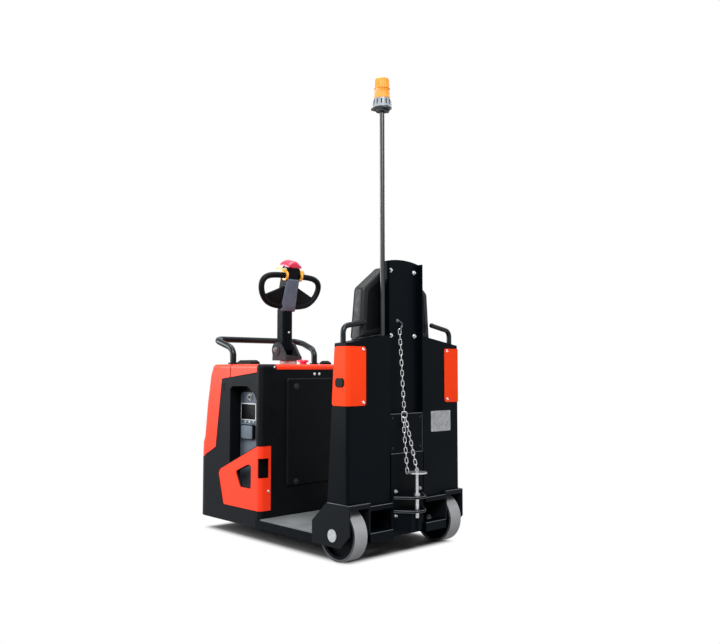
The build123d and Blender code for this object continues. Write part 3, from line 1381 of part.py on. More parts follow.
with BuildPart() as beacon_lens:
    with BuildSketch(Plane.XZ.offset(-POLE_Y)):
        with BuildLine():
            Polyline(
                (POLE_X, LENS_Z),
                (POLE_X + LAMP_BODY_DIA / 2 + 1, LENS_Z),
                (POLE_X + LAMP_BODY_DIA / 2 + 1, LENS_Z + 10),
                (POLE_X + LAMP_BODY_DIA / 2 - 4, LENS_Z + 12),
                (POLE_X + LAMP_BODY_DIA / 2 - 6, LENS_Z + LENS_TALL - 22),
                (POLE_X + LAMP_BODY_DIA / 2 - 11, LENS_Z + LENS_TALL - 8),
                (POLE_X + LAMP_BODY_DIA / 2 - 22, LENS_Z + LENS_TALL),
                (POLE_X, LENS_Z + LENS_TALL),
                close=True,
            )
        make_face()
    revolve(axis=Axis((POLE_X, POLE_Y, 0), (0, 0, 1)))

# Blank plate on the right wing
BLANK_Y = 144.0 - COL_HALF
BLANK_Z = 628.0
with BuildPart() as blank_plate:
    with BuildSketch(Plane.YZ.offset(COL_REAR)):
        with Locations((BLANK_Y, BLANK_Z)):
            RectangleRounded(150, 104, 4)
    extrude(amount=-1.5)

pieces = {
    "rear_tyre_left": rear_tyre_left,
    "rear_tyre_right": rear_tyre_right,
    "rear_rim_left": rear_rim_left,
    "rear_rim_right": rear_rim_right,
    "rear_axles": rear_axles,
    "wheel_guards": wheel_guards,
    "rear_frame": rear_frame,
    "platform_frame": platform_frame,
    "deck_mat": deck_mat,
    "nose_cover": nose_cover,
    "top_cover": top_cover,
    "side_trays": side_trays,
    "side_panels": side_panels,
    "front_skirt": front_skirt,
    "rear_fascia": rear_fascia,
    "knee_pad": knee_pad,
    "side_pockets": side_pockets,
    "control_panel": control_panel,
    "key_switch": key_switch,
    "charge_socket": charge_socket,
    "front_floor": front_floor,
    "battery": battery,
    "drive_bridge": drive_bridge,
    "drive_unit": drive_unit,
    "drive_tyre": drive_tyre,
    "drive_hub": drive_hub,
    "hand_rail": hand_rail,
    "display_pods": display_pods,
    "emergency_stop": emergency_stop,
    "tiller_base": tiller_base,
    "tiller_arm": tiller_arm,
    "tiller_head": tiller_head,
    "head_cover": head_cover,
    "belly_button": belly_button,
    "thumb_wheels": thumb_wheels,
    "column_wings": column_wings,
    "column_panel": column_panel,
    "back_plate": back_plate,
    "channel_lid": channel_lid,
    "tow_coupling": tow_coupling,
    "tow_pin": tow_pin,
    "chain_hook": chain_hook,
    "tow_chain": tow_chain,
    "corner_covers": corner_covers,
    "inching_buttons": inching_buttons,
    "grab_handles": grab_handles,
    "backrest_board": backrest_board,
    "backrest_cushion": backrest_cushion,
    "beacon_pole": beacon_pole,
    "beacon_base": beacon_base,
    "beacon_lens": beacon_lens,
    "blank_plate": blank_plate,
}

for name, piece in pieces.items():
    piece.part.label = name
    export_step(piece.part, f"parts/{name}.step")
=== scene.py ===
import bpy
import bmesh
import json
import math
from mathutils import Matrix, Vector


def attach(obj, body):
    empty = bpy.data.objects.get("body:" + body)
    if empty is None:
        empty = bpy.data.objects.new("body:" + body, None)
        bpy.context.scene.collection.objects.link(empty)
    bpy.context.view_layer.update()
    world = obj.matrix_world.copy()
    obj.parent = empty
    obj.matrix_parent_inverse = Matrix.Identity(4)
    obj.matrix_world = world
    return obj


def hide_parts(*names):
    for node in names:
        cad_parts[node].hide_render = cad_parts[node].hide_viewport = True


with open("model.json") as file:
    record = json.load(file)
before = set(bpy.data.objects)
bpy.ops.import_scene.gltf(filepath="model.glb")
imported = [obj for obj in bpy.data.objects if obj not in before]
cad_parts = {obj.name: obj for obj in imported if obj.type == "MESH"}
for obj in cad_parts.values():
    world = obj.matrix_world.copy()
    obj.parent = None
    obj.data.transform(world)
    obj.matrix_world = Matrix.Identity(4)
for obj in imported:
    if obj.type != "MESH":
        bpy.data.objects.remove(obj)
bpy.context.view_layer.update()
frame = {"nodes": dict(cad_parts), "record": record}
nodes = frame["nodes"]

# Places shared with the solids, in metres
REAR = -0.594
FRONT = 0.690
HALF = 0.400
COL_REAR = REAR + 0.017
WEB_FACE = REAR + 0.045
HITCH_FACE = REAR + 0.015
PIN_X = REAR - 0.046
DISC_Z = 0.391
JAW_TOPS = (0.282, 0.217)
HOOK_Y = 0.036
HOOK_Z = 1.088
GUARD_TOP = 0.272
BODY_REAR = FRONT - 0.600
PILLAR_X = BODY_REAR + 0.034
COVER_TOP = 0.918
STEER_X = FRONT - 0.320
RAIL_X = FRONT - 0.197
TILT_X = STEER_X + 0.036
TILT_Z = 1.004
HEAD_Z = 1.240
HEAD_LEAN = math.radians(15.0)
PANEL_FACE = 0.329 + 0.004
KEY_X = STEER_X - 0.097
KEY_Z = 0.741
SOCKET_X = STEER_X - 0.088
SOCKET_Z = 0.553
POLE_X = COL_REAR + 0.026
POLE_Y = 0.120 + 0.005 + 0.012 + 0.004
LENS_Z = 2.160 + 0.062

FORWARD = (1, 0, 0)
REARWARD = (-1, 0, 0)
LEFTWARD = (0, 1, 0)
UPWARD = (0, 0, 1)

# Camera fitted to the photograph, in its pixels, degrees and metres
PHOTO_WIDTH = 720.0
PHOTO_HEIGHT = 644.0
FOCAL_PIXELS = 783.70
CENTRE_X = 353.67
CENTRE_Y = 318.38
CAMERA_YAW = 42.708
CAMERA_PITCH = 3.687
CAMERA_PLACE = (REAR - 2.6500, 2.8179, 0.8932)
SENSOR = 36.0


def link_new(name, data):
    """New object in the scene."""
    obj = bpy.data.objects.new(name, data)
    bpy.context.scene.collection.objects.link(obj)
    return obj


def add_camera():
    """Camera at the photograph's angle and framing."""
    data = bpy.data.cameras.new("photo_camera")
    data.sensor_fit = "HORIZONTAL"
    data.sensor_width = SENSOR
    data.lens = FOCAL_PIXELS / PHOTO_WIDTH * SENSOR
    data.shift_x = (PHOTO_WIDTH / 2 - CENTRE_X) / PHOTO_WIDTH
    data.shift_y = (CENTRE_Y - PHOTO_HEIGHT / 2) / PHOTO_WIDTH
    data.clip_end = 200.0
    camera = link_new("photo_camera", data)
    yaw = math.radians(CAMERA_YAW)
    pitch = math.radians(CAMERA_PITCH)
    level = math.cos(pitch)
    sight = Vector((math.cos(yaw) * level, -math.sin(yaw) * level, math.sin(pitch)))
    camera.location = CAMERA_PLACE
    camera.rotation_euler = sight.to_track_quat("-Z", "Y").to_euler()
    bpy.context.scene.camera = camera


# Materials
class Shader:
    """Short helper round one node tree with a Principled shader."""

    def __init__(self, name, color, rough, metal=0.0, **sockets):
        self.material = bpy.data.materials.new(name)
        self.material.use_nodes = True
        self.tree = self.material.node_tree
        self.bsdf = self.tree.nodes["Principled BSDF"]
        self.bsdf.inputs["Base Color"].default_value = (*color, 1.0)
        self.bsdf.inputs["Roughness"].default_value = rough
        self.bsdf.inputs["Metallic"].default_value = metal
        for key, value in sockets.items():
            self.bsdf.inputs[key.replace("_", " ")].default_value = value
        self.coords = self.add("ShaderNodeTexCoord").outputs["Object"]

    def add(self, kind, **settings):
        node = self.tree.nodes.new(kind)
        for key, value in settings.items():
            setattr(node, key, value)
        return node

    def link(self, source, target):
        self.tree.links.new(source, target)

    def noise(self, scale, detail=3.0, rough=0.55, coords=None):
        node = self.add("ShaderNodeTexNoise")
        node.inputs["Scale"].default_value = scale
        node.inputs["Detail"].default_value = detail
        node.inputs["Roughness"].default_value = rough
        self.link(coords or self.coords, node.inputs["Vector"])
        return node.outputs["Fac"]

    def stretched(self, scale):
        node = self.add("ShaderNodeMapping")
        node.inputs["Scale"].default_value = scale
        self.link(self.coords, node.inputs["Vector"])
        return node.outputs["Vector"]

    def ramp(self, source, low, high, color_low, color_high):
        node = self.add("ShaderNodeValToRGB")
        node.color_ramp.elements[0].position = low
        node.color_ramp.elements[1].position = high
        node.color_ramp.elements[0].color = (*color_low, 1.0)
        node.color_ramp.elements[1].color = (*color_high, 1.0)
        self.link(source, node.inputs["Fac"])
        return node.outputs["Color"]

    def spread(self, source, low, high):
        node = self.add("ShaderNodeMapRange")
        node.inputs["From Min"].default_value = 0.3
        node.inputs["From Max"].default_value = 0.7
        node.inputs["To Min"].default_value = low
        node.inputs["To Max"].default_value = high
        self.link(source, node.inputs["Value"])
        return node.outputs["Result"]

    def math(self, operation, first, second):
        node = self.add("ShaderNodeMath", operation=operation)
        for socket, value in zip(node.inputs, (first, second)):
            if isinstance(value, (int, float)):
                socket.default_value = value
            else:
                self.link(value, socket)
        return node.outputs["Value"]

    def mix(self, factor, first, second):
        node = self.add("ShaderNodeMix", data_type="RGBA")
        self.link(factor, node.inputs["Factor"])
        for socket, value in ((node.inputs["A"], first), (node.inputs["B"], second)):
            if isinstance(value, tuple):
                socket.default_value = (*value, 1.0)
            else:
                self.link(value, socket)
        return node.outputs["Result"]

    def bump(self, height, strength, distance):
        node = self.add("ShaderNodeBump")
        node.inputs["Strength"].default_value = strength
        node.inputs["Distance"].default_value = distance
        self.link(height, node.inputs["Height"])
        self.link(node.outputs["Normal"], self.bsdf.inputs["Normal"])

    def color(self, source):
        self.link(source, self.bsdf.inputs["Base Color"])

    def rough(self, source):
        self.link(source, self.bsdf.inputs["Roughness"])


def shade(color, factor):
    """Colour made darker or paler by a factor."""
    return tuple(min(1.0, channel * factor) for channel in color)


def paint(name, color, rough, peel, dust, gloss=0.5, tint=(1.0, 1.0, 1.0)):
    """Sprayed paint: orange peel, faint colour drift and a little dust that dulls it."""
    shader = Shader(name, color, rough, Specular_IOR_Level=gloss, Specular_Tint=(*tint, 1.0))
    shader.color(shader.ramp(shader.noise(3.0, 4.0), 0.35, 0.65, shade(color, 0.93), color))
    shader.rough(shader.spread(shader.noise(9.0, 5.0), rough - dust, rough + dust))
    shader.bump(shader.noise(420.0, 2.0), peel, 0.0004)
    return shader.material


def textured(name, color, rough, grain, scale, lift=1.5, gloss=0.085):
    """Grained plastic or textured powder coat."""
    shader = Shader(name, color, rough, Specular_IOR_Level=gloss)
    shader.color(shader.ramp(shader.noise(5.0, 4.0), 0.35, 0.7, color, shade(color, lift)))
    shader.rough(shader.spread(shader.noise(14.0, 4.0), rough - 0.08, rough + 0.08))
    shader.bump(shader.noise(scale, 3.0, 0.7), grain, 0.0005)
    return shader.material


def steel(name, color, rough, scale=60.0, metal=1.0):
    """Bare or zinc-plated steel with fine scratches and a mottled finish."""
    shader = Shader(name, color, rough, metal)
    scratch = shader.noise(scale * 8, 4.0, 0.7, shader.stretched((1.0, 1.0, 0.12)))
    shader.color(shader.ramp(shader.noise(scale, 4.0), 0.35, 0.65, shade(color, 0.72), color))
    shader.rough(shader.spread(scratch, rough - 0.12, rough + 0.12))
    shader.bump(scratch, 0.15, 0.0003)
    return shader.material


def tread(name, color, side_color):
    """Cast polyurethane: pale running face, darker flanks, scuffs along the way it rolls."""
    shader = Shader(name, color, 0.6)
    normal = shader.add("ShaderNodeNewGeometry")
    local = shader.add("ShaderNodeVectorTransform", vector_type="NORMAL")
    local.convert_from = "WORLD"
    local.convert_to = "OBJECT"
    shader.link(normal.outputs["True Normal"], local.inputs["Vector"])
    split = shader.add("ShaderNodeSeparateXYZ")
    shader.link(local.outputs["Vector"], split.inputs["Vector"])
    flank = shader.math("GREATER_THAN", shader.math("ABSOLUTE", split.outputs["Y"], 0.0), 0.8)
    scuff = shader.noise(22.0, 5.0, 0.6, shader.stretched((1.0, 14.0, 1.0)))
    face = shader.ramp(scuff, 0.3, 0.7, shade(color, 0.72), color)
    shader.color(shader.mix(flank, face, side_color))
    shader.rough(shader.spread(scuff, 0.45, 0.7))
    shader.bump(shader.noise(260.0, 3.0), 0.12, 0.0005)
    return shader.material


def rubber_mat(name, color):
    """Grained rubber with trodden, paler patches."""
    shader = Shader(name, color, 0.62)
    worn = shader.noise(6.0, 6.0, 0.6)
    shader.color(shader.ramp(worn, 0.35, 0.7, shade(color, 0.85), shade(color, 1.25)))
    shader.rough(shader.spread(worn, 0.4, 0.65))
    shader.bump(shader.noise(500.0, 2.0), 0.25, 0.0006)
    return shader.material


def vinyl(name, color):
    """Upholstery vinyl with a pebbled grain and soft sheen."""
    shader = Shader(name, color, 0.48, Specular_IOR_Level=0.20)
    cells = shader.add("ShaderNodeTexVoronoi", feature="DISTANCE_TO_EDGE")
    cells.inputs["Scale"].default_value = 420.0
    shader.link(shader.coords, cells.inputs["Vector"])
    shader.color(shader.ramp(shader.noise(7.0, 5.0), 0.3, 0.7, color, shade(color, 1.5)))
    shader.rough(shader.spread(shader.noise(30.0, 3.0), 0.4, 0.55))
    shader.bump(cells.outputs["Distance"], 0.35, 0.0006)
    return shader.material


def lens(name, color):
    """Amber polycarbonate: tinted through, hardly clear, with moulding flow marks."""
    glass = {"Transmission_Weight": 0.05, "IOR": 1.5, "Specular_IOR_Level": 0.22}
    shader = Shader(name, color, 0.36, **glass)
    flow = shader.noise(30.0, 3.0)
    shader.color(shader.ramp(flow, 0.3, 0.7, shade(color, 0.85), color))
    shader.rough(shader.spread(flow, 0.30, 0.42))
    shader.bump(shader.noise(160.0, 2.0), 0.05, 0.0005)
    return shader.material


def build_materials():
    """All materials by name, each made by its kind of finish."""
    cool, cold = (0.8, 0.93, 1.0), (0.78, 0.92, 1.0)
    table = {
        "black_rubber": (textured, (0.004, 0.004, 0.0045), 0.7, 0.3, 700.0),
        "lamp_white": (textured, (0.72, 0.73, 0.74), 0.3, 0.05, 300.0, 1.1),
        "pale_plastic": (textured, (0.20, 0.225, 0.25), 0.35, 0.15, 500.0, 1.1, 0.4),
        "orange_paint": (paint, (0.93, 0.040, 0.009), 0.38, 0.10, 0.07, 0.24),
        "cover_orange": (paint, (0.93, 0.053, 0.010), 0.40, 0.10, 0.07, 0.05),
        "tube_paint": (paint, (0.008, 0.0088, 0.0105), 0.34, 0.03, 0.05, 0.5),
        "rail_paint": (paint, (0.003, 0.0036, 0.0048), 0.30, 0.03, 0.05, 0.26, cool),
        "black_paint": (paint, (0.0008, 0.0017, 0.0030), 0.44, 0.18, 0.08, 0.055, cold),
        # paler copy of black_paint for the side panels, skirt and guards, lifted so their lit
        # left faces read lighter: painted light
        "panel_black": (paint, (0.0070, 0.0082, 0.0104), 0.46, 0.20, 0.08, 0.055, cool),
        # pale grey paint for the hook and the tilt bolts; as strips along plate edges it gives
        # painted highlights
        "worn_paint": (textured, (0.090, 0.100, 0.110), 0.42, 0.35, 500.0, 1.6, 0.4),
        "grey_tread": (tread, (0.34, 0.345, 0.36), (0.030, 0.032, 0.034)),
        "pale_steel": (steel, (0.43, 0.45, 0.46), 0.55, 60.0, 0.1),
        "grey_mat": (rubber_mat, (0.100, 0.110, 0.113)),
        "black_plastic": (textured, (0.0020, 0.0026, 0.0034), 0.48, 0.3, 650.0),
        "dark_plastic": (textured, (0.05, 0.052, 0.056), 0.5, 0.3, 600.0),
        "grey_plastic": (textured, (0.105, 0.130, 0.160), 0.45, 0.3, 600.0, 1.2),
        "cover_grey": (textured, (0.185, 0.22, 0.295), 0.42, 0.25, 600.0, 1.2, 0.3),
        "battery_case": (paint, (0.05, 0.05, 0.055), 0.5, 0.2, 0.1),
        "motor_cast": (textured, (0.06, 0.06, 0.065), 0.6, 0.6, 180.0),
        "dark_cast": (textured, (0.022, 0.023, 0.026), 0.45, 0.4, 220.0),
        "red_plastic": (paint, (0.60, 0.014, 0.060), 0.28, 0.04, 0.05),
        "yellow_plastic": (paint, (0.88, 0.42, 0.045), 0.3, 0.05, 0.05),
        "zinc_steel": (steel, (0.66, 0.67, 0.69), 0.30, 90.0, 0.85),
        "black_vinyl": (vinyl, (0.0070, 0.0080, 0.0095)),
        "amber_lens": (lens, (0.77, 0.275, 0.029)),
        "plate_aluminium": (steel, (0.36, 0.37, 0.385), 0.42),
    }
    return {name: make(name, *values) for name, (make, *values) in table.items()}


materials = build_materials()


def dress_nodes():
    """Give each CAD node the material of its slot, or a finish of its own."""
    slots = {entry["node"]: entry["material_slot"] for entry in frame["record"]["subparts"]}
    special = {
        "hand_rail": "rail_paint",
        "grab_handles": "rail_paint",
        "beacon_pole": "tube_paint",
        "corner_covers": "cover_orange",
        "tiller_arm": "black_paint",
        # the panels get the paler black copy: painted light on their lit faces
        "side_panels": "panel_black",
        "front_skirt": "panel_black",
        "wheel_guards": "panel_black",
    }
    for name, obj in nodes.items():
        obj.data.materials.clear()
        obj.data.materials.append(materials[special.get(name, slots[name])])


# Floor and light: the part of the floor that keeps its shadow lies under the machine
SHADOW_AREA = (("X", 0.05, 0.55), ("Y", 0.0, HALF - 0.07))
SHADOW_FADE = 0.08
WHITE = (1.0, 1.0, 1.0, 1.0)
SEES_WHITE = ("Is Camera Ray", "Is Transmission Ray", "Is Glossy Ray")
SKY_STRENGTH = 0.22


def add_floor():
    """Grey floor under the machine, white to the eye all round it; the grey there is painted
    shade that deepens the machine's rendered shadow.
    """
    bpy.ops.mesh.primitive_plane_add(size=60.0, location=(0.0, 0.0, 0.0))
    floor = bpy.context.object
    floor.name = "studio_floor"
    # dark grey under the machine, against white all round: painted shade on top of the rendered
    # shadow
    shader = Shader("studio_floor", (0.20, 0.20, 0.205), 0.8)
    output = shader.tree.nodes["Material Output"]
    glow = shader.add("ShaderNodeEmission")
    glow.inputs["Color"].default_value = WHITE
    split = shader.add("ShaderNodeSeparateXYZ")
    shader.link(shader.coords, split.inputs["Vector"])
    beyond = []
    for axis, middle, reach in SHADOW_AREA:
        offset = shader.math("SUBTRACT", split.outputs[axis], middle)
        outside = shader.math("SUBTRACT", shader.math("ABSOLUTE", offset, 0.0), reach)
        outside = shader.math("MAXIMUM", outside, 0.0)
        beyond.append(shader.math("MULTIPLY", outside, outside))
    distance = shader.math("SQRT", shader.math("ADD", beyond[0], beyond[1]), 0.0)
    fade = shader.add("ShaderNodeMapRange", interpolation_type="SMOOTHSTEP")
    fade.inputs["From Min"].default_value = 0.0
    fade.inputs["From Max"].default_value = SHADOW_FADE
    shader.link(distance, fade.inputs["Value"])
    path = shader.add("ShaderNodeLightPath")
    seen = path.outputs[SEES_WHITE[0]]
    for kind in SEES_WHITE[1:]:
        seen = shader.math("MAXIMUM", seen, path.outputs[kind])
    factor = shader.math("MULTIPLY", seen, fade.outputs["Result"])
    blend = shader.add("ShaderNodeMixShader")
    shader.link(factor, blend.inputs["Fac"])
    shader.link(shader.bsdf.outputs["BSDF"], blend.inputs[1])
    shader.link(glow.outputs["Emission"], blend.inputs[2])
    shader.link(blend.outputs["Shader"], output.inputs["Surface"])
    floor.data.materials.append(shader.material)


def add_world():
    """Soft fill light, white where the camera or a mirror sees it."""
    world = bpy.data.worlds.new("studio")
    bpy.context.scene.world = world
    world.use_nodes = True
    tree = world.node_tree
    background = tree.nodes["Background"]
    white = tree.nodes.new("ShaderNodeBackground")
    white.inputs["Color"].default_value = WHITE
    white.inputs["Strength"].default_value = 1.0
    background.inputs["Color"].default_value = (0.96, 0.98, 1.0, 1.0)
    background.inputs["Strength"].default_value = SKY_STRENGTH
    path = tree.nodes.new("ShaderNodeLightPath")
    seen = path.outputs[SEES_WHITE[0]]
    for kind in SEES_WHITE[1:]:
        most = tree.nodes.new("ShaderNodeMath")
        most.operation = "MAXIMUM"
        tree.links.new(seen, most.inputs[0])
        tree.links.new(path.outputs[kind], most.inputs[1])
        seen = most.outputs["Value"]
    blend = tree.nodes.new("ShaderNodeMixShader")
    tree.links.new(seen, blend.inputs["Fac"])
    tree.links.new(background.outputs["Background"], blend.inputs[1])
    tree.links.new(white.outputs["Background"], blend.inputs[2])
    tree.links.new(blend.outputs["Shader"], tree.nodes["World Output"].inputs["Surface"])


def add_lamp(name, place, aim, size, power):
    """Soft box at a place, turned to its aim."""
    data = bpy.data.lights.new(name, "AREA")
    data.shape = "RECTANGLE"
    data.size, data.size_y = size
    data.energy = power
    lamp = link_new(name, data)
    lamp.location = place
    lamp.rotation_euler = (Vector(aim) - Vector(place)).to_track_quat("-Z", "Y").to_euler()


def add_light():
    add_world()
    add_lamp("camera_box", (-3.6, 2.5, 4.0), (0.0, 0.0, 0.8), (2.4, 2.0), 290.0)
    add_lamp("front_left_box", (3.0, 3.4, 2.2), (0.0, 0.2, 0.7), (2.6, 2.4), 250.0)
    add_lamp("top_box", (0.0, 0.0, 4.8), (0.0, 0.0, 0.6), (3.4, 3.4), 190.0)
    add_lamp("right_box", (0.6, -4.0, 3.0), (0.0, 0.0, 0.8), (2.0, 2.0), 60.0)


# Mesh helpers
def finish_mesh(name, bm, material, body, smooth=40.0):
    """Turn a bmesh into a piece that rides on a body."""
    bmesh.ops.recalc_face_normals(bm, faces=bm.faces)
    mesh = bpy.data.meshes.new(name)
    bm.to_mesh(mesh)
    bm.free()
    obj = link_new(name, mesh)
    mesh.materials.append(materials[material])
    mesh.shade_smooth()
    mesh.set_sharp_from_angle(angle=math.radians(smooth))
    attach(obj, body)
    return obj


def bridge(bm, first, second, shift=0):
    """Faces between two closed rings, the second one turned by some places."""
    count = len(first)
    for step in range(count):
        following = (step + 1) % count
        far = (second[(following + shift) % count], second[(step + shift) % count])
        bm.faces.new((first[step], first[following], *far))


def lathe(bm, profile, place, normal, segments=32, flutes=0, flute_depth=0.0):
    """Turn (radius, height) pairs about the normal through place."""
    turn = Vector(normal).normalized().to_track_quat("Z", "Y").to_matrix().to_4x4()
    seat = Matrix.Translation(Vector(place)) @ turn
    rings = []
    for radius, height in profile:
        if radius == 0.0:
            rings.append([bm.verts.new(seat @ Vector((0.0, 0.0, height)))])
            continue
        ring = []
        for step in range(segments):
            angle = 2.0 * math.pi * step / segments
            reach = radius - flute_depth * (0.5 - 0.5 * math.cos(flutes * angle))
            spot = Vector((reach * math.cos(angle), reach * math.sin(angle), height))
            ring.append(bm.verts.new(seat @ spot))
        rings.append(ring)
    for lower, upper in zip(rings[:-1], rings[1:]):
        for step in range(segments):
            following = (step + 1) % segments
            corners = [lower[step % len(lower)], lower[following % len(lower)]]
            corners += [upper[following % len(upper)], upper[step % len(upper)]]
            unique = list(dict.fromkeys(corners))
            if len(unique) > 2:
                bm.faces.new(unique)


def tube(bm, points, radius, segments=10, closed=False):
    """Round wire along points."""
    count = len(points)
    points = [Vector(point) for point in points]
    rings = []
    across = None
    for index, point in enumerate(points):
        if closed:
            ahead = points[(index + 1) % count] - points[index - 1]
        else:
            ahead = points[min(index + 1, count - 1)] - points[max(index - 1, 0)]
        ahead.normalize()
        if across is None:
            across = ahead.orthogonal().normalized()
        across = (across - ahead * across.dot(ahead)).normalized()
        other = ahead.cross(across)
        ring = []
        for step in range(segments):
            angle = 2.0 * math.pi * step / segments
            spoke = across * math.cos(angle) + other * math.sin(angle)
            ring.append(bm.verts.new(point + spoke * radius))
        rings.append(ring)
    for first, second in zip(rings[:-1], rings[1:]):
        bridge(bm, first, second)
    if closed:
        last, start = rings[-1], rings[0]
        shift = min(range(segments), key=lambda turn: (last[0].co - start[turn].co).length)
        bridge(bm, last, start, shift)
    else:
        bm.faces.new(rings[0])
        bm.faces.new(rings[-1])


def prism(bm, outline, base, x_dir, y_dir, thick, edge):
    """Plate with an outline in two directions, thick across them, its far rim rounded."""
    x_dir = Vector(x_dir).normalized()
    y_dir = Vector(y_dir).normalized()
    out = x_dir.cross(y_dir)
    low = [bm.verts.new(Vector(base) + x_dir * u + y_dir * v) for u, v in outline]
    high = [bm.verts.new(vert.co + out * thick) for vert in low]
    bm.faces.new(low)
    lid = bm.faces.new(high)
    bridge(bm, low, high)
    if edge > 0:
        rim = list(lid.edges)
        bmesh.ops.bevel(bm, geom=rim, offset=edge, segments=3, profile=0.5, affect="EDGES")


def rounded(width, height, radius, steps=6):
    """Outline of a rounded rectangle about its middle."""
    points = []
    for turn, (sx, sy) in enumerate(((1, 1), (-1, 1), (-1, -1), (1, -1))):
        for step in range(steps + 1):
            angle = math.pi / 2 * (turn + step / steps)
            x = sx * (width / 2 - radius) + radius * math.cos(angle)
            y = sy * (height / 2 - radius) + radius * math.sin(angle)
            points.append((x, y))
    return points


def socket_screw(bm, place, normal, radius, height):
    """Button head with a hexagon socket."""
    crown = ((1.0, 0.0), (1.0, 0.35), (0.93, 0.65), (0.76, 0.9), (0.5, 1.0))
    lathe(bm, [(radius * r, height * h) for r, h in crown], place, normal, 24)
    top = Vector(place) + Vector(normal).normalized() * height
    hollow = ((0.5, 0.0), (0.46, -0.6), (0.0, -0.62))
    lathe(bm, [(radius * r, height * h) for r, h in hollow], top, normal, 6)


def hex_bolt(bm, place, normal, radius, height):
    """Hexagon head on a washer."""
    washer = ((1.45, 0.0), (1.45, 0.18), (1.38, 0.26), (0.0, 0.26))
    lathe(bm, [(radius * r, height * h) for r, h in washer], place, normal, 28)
    foot = Vector(place) + Vector(normal).normalized() * height * 0.26
    head = ((1.0, 0.0), (1.0, 0.62), (0.86, 0.74), (0.0, 0.74))
    lathe(bm, [(radius * r, height * h) for r, h in head], foot, normal, 6)


# Chain of round wire, at the place of the flat links
WIRE = 0.0040
SLACK = 0.0006
PITCH = 0.024
LINK_WIDE = 0.0175
LINK_BEND = 0.0072
MASTER_WIDE = 0.030
DISC_HOLE = (0.024, 0.030, 0.0)
EYE_RISE = 0.016
LEG_SPREAD = 0.0058


def chain_link(bm, centre, direction, wide_dir, pitch, wide):
    """One closed link, long in direction and wide in wide_dir."""
    direction = direction.normalized()
    wide_dir = (wide_dir - direction * wide_dir.dot(direction)).normalized()
    reach = (pitch + SLACK + WIRE) / 2
    half = (wide - WIRE) / 2
    bend = min(half, LINK_BEND)
    points = []
    for sign in (1, -1):
        for step in range(9):
            angle = math.pi * step / 8
            side = half - bend if step < 4 else bend - half
            if step == 4:
                side = 0.0
            along = reach - bend + bend * math.sin(angle)
            over = side + bend * math.cos(angle)
            points.append(centre + direction * (sign * along) + wide_dir * (sign * over))
    tube(bm, points, WIRE / 2, 10, True)


def chain_strand(bm, start, end, last_wide, odd):
    """Links from start to end, each a quarter turn on, the last one wide in last_wide."""
    run = end - start
    direction = run.normalized()
    count = int(run.length // PITCH)
    if (count % 2 == 1) != odd:
        count += 1
    pitch = run.length / count
    for index in range(count):
        turned = (count - 1 - index) % 2 == 1
        wide_dir = direction.cross(last_wide) if turned else last_wide
        centre = start + direction * (pitch * (index + 0.5))
        chain_link(bm, centre, direction, wide_dir, pitch, LINK_WIDE)


def add_chain():
    """One strand from the hook to the master link, two legs to the pin's eye and disc."""
    bm = bmesh.new()
    lead = (SLACK + WIRE) / 2
    hole = Vector(DISC_HOLE)
    rim_dir = hole.normalized()
    hook = Vector((WEB_FACE - 0.014, HOOK_Y, HOOK_Z))
    joint = Vector((COL_REAR - 0.010, 0.030, 0.670))
    eye = Vector((PIN_X, 0.0, DISC_Z + EYE_RISE + lead))
    rim = Vector((PIN_X, 0.0, DISC_Z - WIRE / 2 - 0.001 + lead))
    rim += rim_dir * (hole.length + (LINK_WIDE - WIRE) / 2)
    drop = Vector((0.0, 0.0, PITCH / 2))
    across = Vector((-rim_dir.y, rim_dir.x, 0.0))
    spread = rim_dir * LEG_SPREAD
    chain_strand(bm, hook, joint + drop, across, False)
    chain_link(bm, joint, Vector((0.0, 0.0, -1.0)), rim_dir, PITCH, MASTER_WIDE)
    chain_strand(bm, joint - drop - spread, eye, across, True)
    chain_strand(bm, joint - drop + spread, rim, rim_dir, True)
    chain = finish_mesh("tow_chain_wire", bm, "zinc_steel", "chassis", 60.0)
    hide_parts("tow_chain")


def smooth_path(points, steps=8):
    """Rounded line through points."""
    places = [Vector(point) for point in points]
    places = [places[0] * 2 - places[1]] + places + [places[-1] * 2 - places[-2]]
    result = []
    for index in range(1, len(places) - 2):
        before, start, end, after = places[index - 1 : index + 3]
        for step in range(steps):
            t = step / steps
            bend = (end - before) * t + (before * 2 - start * 5 + end * 4 - after) * t**2
            bend += (start * 3 - before - end * 3 + after) * t**3
            result.append(start + bend * 0.5)
    return result + [places[-2]]


def add_hook():
    """Bent wire hook on the back plate, with a flange at its root."""
    bm = bmesh.new()
    low = HOOK_Z - 0.0032
    out = WEB_FACE - 0.006
    tip = COL_REAR + 0.004
    line = (
        (WEB_FACE - 0.0004, 0.0, 0.046),
        (out, -0.004, 0.045),
        (out, -0.024, 0.033),
        (out, -0.026, 0.016),
        (out, -0.008, 0.001),
        (out - 0.008, 0.0, 0.0),
        (tip, 0.0, 0.004),
        (tip, 0.0, 0.020),
    )
    tube(bm, smooth_path([(x, HOOK_Y + y, low + z) for x, y, z in line]), 0.003, 12)
    flange = [(0.009, 0.0), (0.009, 0.0015), (0.0075, 0.003), (0.0, 0.003)]
    lathe(bm, flange, (WEB_FACE, HOOK_Y, low + 0.046), REARWARD, 24)
    hook = finish_mesh("chain_hook_wire", bm, "worn_paint", "chassis", 60.0)
    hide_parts("chain_hook")


